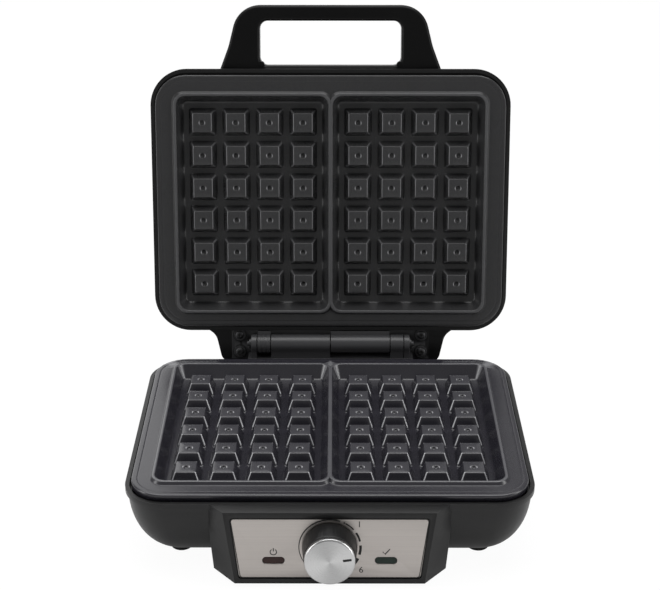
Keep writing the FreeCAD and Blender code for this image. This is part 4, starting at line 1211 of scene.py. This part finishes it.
    def peg(self) -> bpy.types.Mesh:
        """One tapered peg with rounded edges and a dimple, standing on the cavity floor, with painted
        highlights on its corners, sides, top and dimple flanks.

        Returns:
            The mesh in plate millimetres.
        """
        sides = ((9.8, 1.9, -0.4), (9.8, 1.9, 0.01), (9.45, 1.75, 0.07), (9.2, 1.65, 0.3),
                 (9.06, 1.6, 0.75), (8.76, 1.54, 1.7), (6.72, 1.15, 7.0), (6.6, 1.1, 7.38),
                 (6.38, 1.05, 7.66), (6.0, 0.95, 7.8))
        dimple = ((2.5, 7.8), (2.05, 7.8), (1.8, 7.7), (1.6, 7.25), (1.25, 6.5), (0.3, 6.2))
        loops: list[Loop] = []
        for half, corner, height in sides:
            outline = rounded(half, half, corner, *self.peg_steps)
            loops.append([(x, y, height) for x, y in outline])
        for radius, height in dimple:
            loops.append([(radius * x / math.hypot(x, y), radius * y / math.hypot(x, y), height)
                          for x, y in outline])
        mesh = meshed(lofted(loops), "peg")
        painted_highlights = mesh.attributes.new(PAINTED_HIGHLIGHT, "FLOAT", "POINT")
        ring = len(loops[0])
        for place in range(len(mesh.vertices)):
            level, spot = divmod(place, ring)
            on_corner = spot % (ring // 4) in (2, 3)
            painted_highlights.data[place].value = self._painted_peg_highlight(level, on_corner, mesh.vertices[place].co)
        return mesh

    def _painted_peg_highlight(self, level: int, on_corner: bool, point: Vector) -> float:
        """How far a peg's vertex is painted bright with highlight.

        Args:
            level: Loop of the vertex, counted from the peg's foot.
            on_corner: Whether it lies on an upright corner.
            point: The vertex, with the peg's axis at the origin.

        Returns:
            The share of painted highlight: strong on the upright corners and both flanks of the dimple, faint
                on the top.
        """
        if level in CORNER_LEVELS and on_corner:
            return self.corner_painted_highlight
        if level in SIDE_LEVELS and abs(point.x) > abs(point.y):
            return self.side_painted_highlight
        if level in LIP_LEVELS:
            return self.dimple_painted_highlight * (point.x / math.hypot(point.x, point.y)) ** 6
        return self.top_painted_highlight if level in TOP_LEVELS else 0.0

    def field(self, side: int) -> bpy.types.Mesh:
        """All the pegs of one cavity, repeated in columns and rows.

        Args:
            side: -1 for the left cavity, 1 for the right one.

        Returns:
            The mesh in plate millimetres.
        """
        column = Repeat("peg_column", self.rows, Vector((0, self.pitch_y, 0))).mesh(self.peg(), self.coating)
        pegs = Repeat("peg_field", self.columns, Vector((self.pitch_x, 0, 0))).mesh(column, self.coating)
        first_x = side * self.centre() - (self.columns - 1) / 2 * self.pitch_x
        first_y = self.setback - (self.rows - 1) / 2 * self.pitch_y
        pegs.transform(Matrix.Translation((first_x, first_y, -self.deep)))
        return pegs

    def place(self) -> Matrix:
        """From plate millimetres to the row frame."""
        low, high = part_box("lower_plate")
        bench = Matrix.Translation((0, (low.y + high.y) / 2, high.z)) @ Matrix.Scale(MM, 4)
        if self.node == "lower_plate":
            return bench
        apart = 2 * (joint_of("lid_hinge")["pos_m"][2] - high.z - self.hinge_rise * MM)
        over = Matrix.Translation((0, (low.y + high.y) / 2, high.z + apart))
        return swung() @ over @ Matrix.Rotation(math.pi, 4, "Y") @ Matrix.Scale(MM, 4)

    def build(self) -> None:
        """Build the casting and let it stand for its CAD node."""
        right = self.half()
        left = right.copy()
        left.transform(Matrix.Scale(-1, 4, Vector((1, 0, 0))))
        left.flip_normals()
        meshes = [left, right, self.field(-1), self.field(1)]
        for mesh in meshes:
            mesh.transform(self.place())
        name = self.node + "_casting"
        piece = link(joined(meshes, name), name)
        settle(piece, self.coating, body_of(self.node), slot_of(self.node), self.sharp_angle)
        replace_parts(piece, self.node)


@dataclass
class HingeSet:
    """Knuckles, leaf, pin and screws at the rear."""

    edge: float = 0.5
    barrel_radius: float = 6.4
    collar_count: int = 3
    collar_start: float = -49.6
    collar_step: float = 2.9
    collar_width: float = 1.3
    collar_height: float = 0.35
    # Size and thickness of the dark bars painted as the shade of the screws' cross recesses
    recess: Point2 = (2.8, 0.7)
    recess_thick: float = 0.08
    flat_from: float = 58.0
    knuckle_reach: float = 9.5
    ring_radius: float = 3.7
    ring_wall: float = 0.5
    ring_height: float = 1.4

    def build(self) -> None:
        """Build the skins of the hinge."""
        Softening(self.edge).skin("base_hinge_bracket", HINGE_GREY)
        self._blacken(Softening(self.edge).skin("lid_hinge_leaf", HINGE_GREY))
        Softening(0.2, 2).skin("hinge_pin", DARK_STEEL)
        Softening(0.3, 2).skin("leaf_screws", DARK_STEEL)
        dress(PLAIN_STEEL, "bracket_screws")
        dress(DARK_STEEL, "hinge_clips")
        self._collars()
        self._screw_marks()

    def _blacken(self, leaf: bpy.types.Object) -> None:
        """Give the flat of the leaf, away from its knuckles, the housing's black."""
        axis = hinge_axis()
        leaf.data.materials.append(BODY.material())
        for polygon in leaf.data.polygons:
            away = math.hypot(polygon.center.y - axis.y, polygon.center.z - axis.z)
            outside = abs(polygon.center.x) > self.flat_from * MM
            if outside or away > self.knuckle_reach * MM:
                polygon.material_index = 1

    def _collars(self) -> None:
        """Turned collars on the lid's left knuckle."""
        axis = hinge_axis()
        row = Repeat("knuckle_collar", self.collar_count, Vector((self.collar_step, 0, 0)))
        rings = row.mesh(collar(self.barrel_radius, self.collar_height, self.collar_width), HINGE_GREY)
        start = Vector((axis.x + self.collar_start * MM, axis.y, axis.z))
        rings.transform(Matrix.Translation(start) @ Matrix.Scale(MM, 4))
        settle(link(rings, "knuckle_collars"), HINGE_GREY, "lid", slot_of("lid_hinge_leaf"))

    def _screw_marks(self) -> None:
        """Dark cross in each screw head of the leaf, painted shade of its cross recess, and a raised ring
        round it.
        """
        shut = swung().inverted()
        first, apart = self._screw_places(shut)
        recess_shades = self._at_screws(self._recess_shade_cross(), apart, INK_AND_PAINTED_SHADE)
        recess_shades.transform(swung() @ Matrix.Translation(first))
        settle(link(recess_shades, "leaf_screw_recesses"), INK_AND_PAINTED_SHADE, "lid", slot_of("leaf_screws"))
        ring = collar(self.ring_radius, self.ring_wall, self.ring_height)
        ring.transform(Matrix.Scale(MM, 4) @ Matrix.Rotation(math.radians(90), 4, "Y"))
        rings = self._at_screws(ring, apart, HINGE_GREY)
        leaf = [shut @ vertex.co for vertex in frame["nodes"]["lid_hinge_leaf"].data.vertices]
        seat = min(spot.z for spot in leaf if abs(spot.x) > abs(first.x))
        rings.transform(swung() @ Matrix.Translation((first.x, first.y, seat)))
        settle(link(rings, "leaf_screw_rings"), HINGE_GREY, "lid", slot_of("lid_hinge_leaf"))

    def _screw_places(self, shut: Matrix) -> tuple[Vector, Vector]:
        """Where the leaf's screws sit with the lid shut.

        Args:
            shut: From the lid as it rests to the shut lid.

        Returns:
            The front left head's face, and the way from it to the rear right one.
        """
        spots = [shut @ vertex.co for vertex in frame["nodes"]["leaf_screws"].data.vertices]
        face = min(spot.z for spot in spots)
        middle = (min(spot.y for spot in spots) + max(spot.y for spot in spots)) / 2
        left = [spot.x for spot in spots if spot.x < 0]
        right = [spot.x for spot in spots if spot.x > 0]
        front = [spot.y for spot in spots if spot.y < middle]
        rear = [spot.y for spot in spots if spot.y > middle]
        first = Vector((min(left) + max(left), min(front) + max(front), face * 2)) / 2
        last = Vector((min(right) + max(right), min(rear) + max(rear), face * 2)) / 2
        return first, last - first

    def _recess_shade_cross(self) -> bpy.types.Mesh:
        """Two crossed dark bars, painted shade that stands for a screw's cross recess."""
        bars = []
        for size in (self.recess, self.recess[::-1]):
            shape = bmesh.new()
            bmesh.ops.create_cube(shape, size=MM, matrix=Matrix.Diagonal((*size, self.recess_thick, 1)))
            bars.append(meshed(shape, "recess"))
        return joined(bars, "cross")

    def _at_screws(self, template: bpy.types.Mesh, apart: Vector, finish: Finish) -> bpy.types.Mesh:
        """Repeat a template at the leaf's four screws.

        Args:
            template: Mesh of the first copy, in metres.
            apart: From the first screw to the one opposite.
            finish: Finish of the copies.

        Returns:
            The realised mesh.
        """
        pair = Repeat("screw_pair", 2, Vector((apart.x, 0, 0))).mesh(template, finish)
        return Repeat("screw_rows", 2, Vector((0, apart.y, 0))).mesh(pair, finish)


@dataclass
class LidHousing:
    """Upper moulding, its cover, the loop handle and what is shut inside."""

    edge: float = 0.7
    flat_area: float = 400.0
    cover_edge: float = 0.4
    grip_edge: float = 1.2
    boss_x: float = 47.3
    boss_y: float = -194.4
    boss_z: float = 7.3
    boss_height: float = 4.0

    def build(self) -> None:
        """Build the skins of the lid."""
        Softening(self.edge, flat_area=self.flat_area).skin("lid_shell", BODY)
        Softening(self.cover_edge, flat_area=self.flat_area).skin("lid_cover", BODY)
        Softening(self.grip_edge, 4).skin("handle", GRIP)
        self._bosses()
        dress(PLAIN_STEEL, "handle_screws", "upper_plate_screws")
        dress(SHEATH, "upper_heater")
        dress(SHEET_METAL, "upper_reflector")

    def _bosses(self) -> None:
        """Small rounded bosses in the lower corners of the hand opening."""
        hinge = Matrix.Translation(joint_of("lid_hinge")["pos_m"])
        levels = ((0.1, 0.0), (1.7, 0.0), (2.1, 0.4), (2.1, self.boss_height - 0.5),
                  (1.7, self.boss_height - 0.1), (0.3, self.boss_height))
        turns = [turn * math.pi / 12 for turn in range(24)]
        loops = [[(radius * math.cos(turn), radius * math.sin(turn), height) for turn in turns]
                 for radius, height in levels]
        meshes = []
        for side in (-1, 1):
            boss = meshed(lofted(loops), "boss")
            spot = Vector((side * self.boss_x, self.boss_y, self.boss_z)) * MM
            boss.transform(swung() @ hinge @ Matrix.Translation(spot) @ Matrix.Scale(MM, 4))
            meshes.append(boss)
        bosses = link(joined(meshes, "handle_bosses"), "handle_bosses")
        settle(bosses, GRIP, "lid", slot_of("handle"))


@dataclass(frozen=True)
class Lamp:
    """One soft rectangular light; lengths in metres, power in watts."""

    name: str
    place: Point3
    aim: Point3
    size: Point2
    power: float

    def build(self) -> None:
        """Hang the light and point it."""
        light = bpy.data.lights.new(self.name, "AREA")
        light.shape = "RECTANGLE"
        light.size, light.size_y = self.size
        light.energy = self.power
        made = bpy.data.objects.new(self.name, light)
        made.location = self.place
        made.rotation_euler = (Vector(self.aim) - Vector(self.place)).to_track_quat("-Z", "Y").to_euler()
        bpy.context.scene.collection.objects.link(made)


@dataclass
class Studio:
    """White floor, soft lights, world and the photo's camera."""

    lamps: tuple[Lamp, ...] = (
        Lamp("overhead", (0.0, 0.15, 1.5), (0, 0, 0.08), (1.7, 1.3), 24.0),
        Lamp("backdrop", (-1.1, 2.2, 1.25), (-1.1, 0, 0.9), (3.0, 2.5), 27.0),
        Lamp("left_strip", (-1.4, -0.4, 0.6), (0, 0, 0.08), (0.5, 1.2), 8.0),
        Lamp("right_strip", (1.4, -0.4, 0.6), (0, 0, 0.08), (0.5, 1.2), 8.0))
    floor_span: float = 8.0
    floor_colour: tuple[float, float, float, float] = (0.9, 0.9, 0.9, 1.0)
    floor_glow: float = 0.93
    glow_strength: float = 1.03
    ambient: float = 0.1
    mirror: float = 0.25
    eye: Vector = field(default_factory=lambda: Vector((0.0018, -0.9232, 0.5288)))
    aim: Vector = field(default_factory=lambda: Vector((-0.0003, 0.0, 0.09684)))
    lens: float = 80.08
    sensor: float = 36.0

    def build(self) -> None:
        """Set up the whole studio."""
        self._floor()
        self._world()
        for lamp in self.lamps:
            lamp.build()
        self._camera()
        scene = bpy.context.scene
        scene.view_settings.view_transform = "Standard"
        scene.render.film_transparent = False

    @staticmethod
    def _rays(graph: Graph) -> tuple[Num, Num]:
        """Whether a ray comes straight from the camera, and whether it was mirrored or let through."""
        path = graph.node("ShaderNodeLightPath")
        mirrored = graph.num(path, "Is Glossy Ray") + graph.num(path, "Is Transmission Ray")
        return graph.num(path, "Is Camera Ray"), mirrored

    def _floor(self) -> None:
        """Pale floor that keeps the object's shadow on white."""
        shape = bmesh.new()
        bmesh.ops.create_grid(shape, x_segments=1, y_segments=1, size=self.floor_span / 2)
        mesh = meshed(shape, "floor")
        floor = link(mesh, "floor")
        material = bpy.data.materials.new("floor_white")
        material.use_nodes = True
        graph = Graph(material.node_tree)
        seen, mirrored = self._rays(graph)
        paper = graph.node("ShaderNodeBsdfDiffuse", {}, {"Color": self.floor_colour})
        glow = graph.node("ShaderNodeEmission", {}, {"Color": WHITE, "Strength": self.glow_strength})
        share = (seen + mirrored * self.mirror) * self.floor_glow
        blend = graph.node("ShaderNodeMixShader", {}, {0: share, 1: paper.outputs[0], 2: glow.outputs[0]})
        graph.node("ShaderNodeOutputMaterial", {}, {"Surface": blend.outputs[0]})
        mesh.materials.append(material)
        floor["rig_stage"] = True

    def _world(self) -> None:
        """White surroundings for what is seen or mirrored, dimmer as a light."""
        world = bpy.data.worlds.new("studio")
        bpy.context.scene.world = world
        world.use_nodes = True
        graph = Graph(world.node_tree)
        seen, mirrored = self._rays(graph)
        strength = self.ambient + seen * (1 - self.ambient) + mirrored * self.mirror
        backdrop = graph.node("ShaderNodeBackground", {}, {"Color": WHITE, "Strength": strength})
        graph.node("ShaderNodeOutputWorld", {}, {"Surface": backdrop.outputs[0]})

    def _camera(self) -> None:
        """Place the camera as in the photo, measured from the hinge."""
        hinge = Vector((0.0, hinge_axis().y, 0.0))
        data = bpy.data.cameras.new("photo_camera")
        data.lens = self.lens
        data.sensor_width = self.sensor
        data.sensor_fit = "HORIZONTAL"
        camera = bpy.data.objects.new("photo_camera", data)
        camera.location = hinge + self.eye
        camera.rotation_euler = (self.aim - self.eye).to_track_quat("-Z", "Y").to_euler()
        bpy.context.scene.collection.objects.link(camera)
        bpy.context.scene.camera = camera


def corners() -> list[list[float]]:
    """Corners of the shown object as plain lists."""
    low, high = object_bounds()
    return [list(low), list(high)]


def main() -> None:
    """Build every sub-assembly and the studio."""
    logging.basicConfig(level=logging.INFO, format="%(message)s")
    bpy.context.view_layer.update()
    dial = Dial()
    lower = CookingPlate("lower_plate", LOWER_COATING_PAINTED_SHADE)
    # The lid's plate gets fainter painted highlights and no painted reflection streaks
    upper = CookingPlate("upper_plate", UPPER_COATING, corner_painted_highlight=0.14, dimple_painted_highlight=0.6, side_painted_highlight=0.3,
                         top_painted_highlight=0.013, crest_painted_highlight=0.09, streak_painted_reflection=0.0)
    assemblies = (BaseHousing(), ControlPanel(dial), dial, lower, upper, HingeSet(), LidHousing(), Studio())
    for assembly in assemblies:
        assembly.build()


if __name__ == "__main__":
    main()
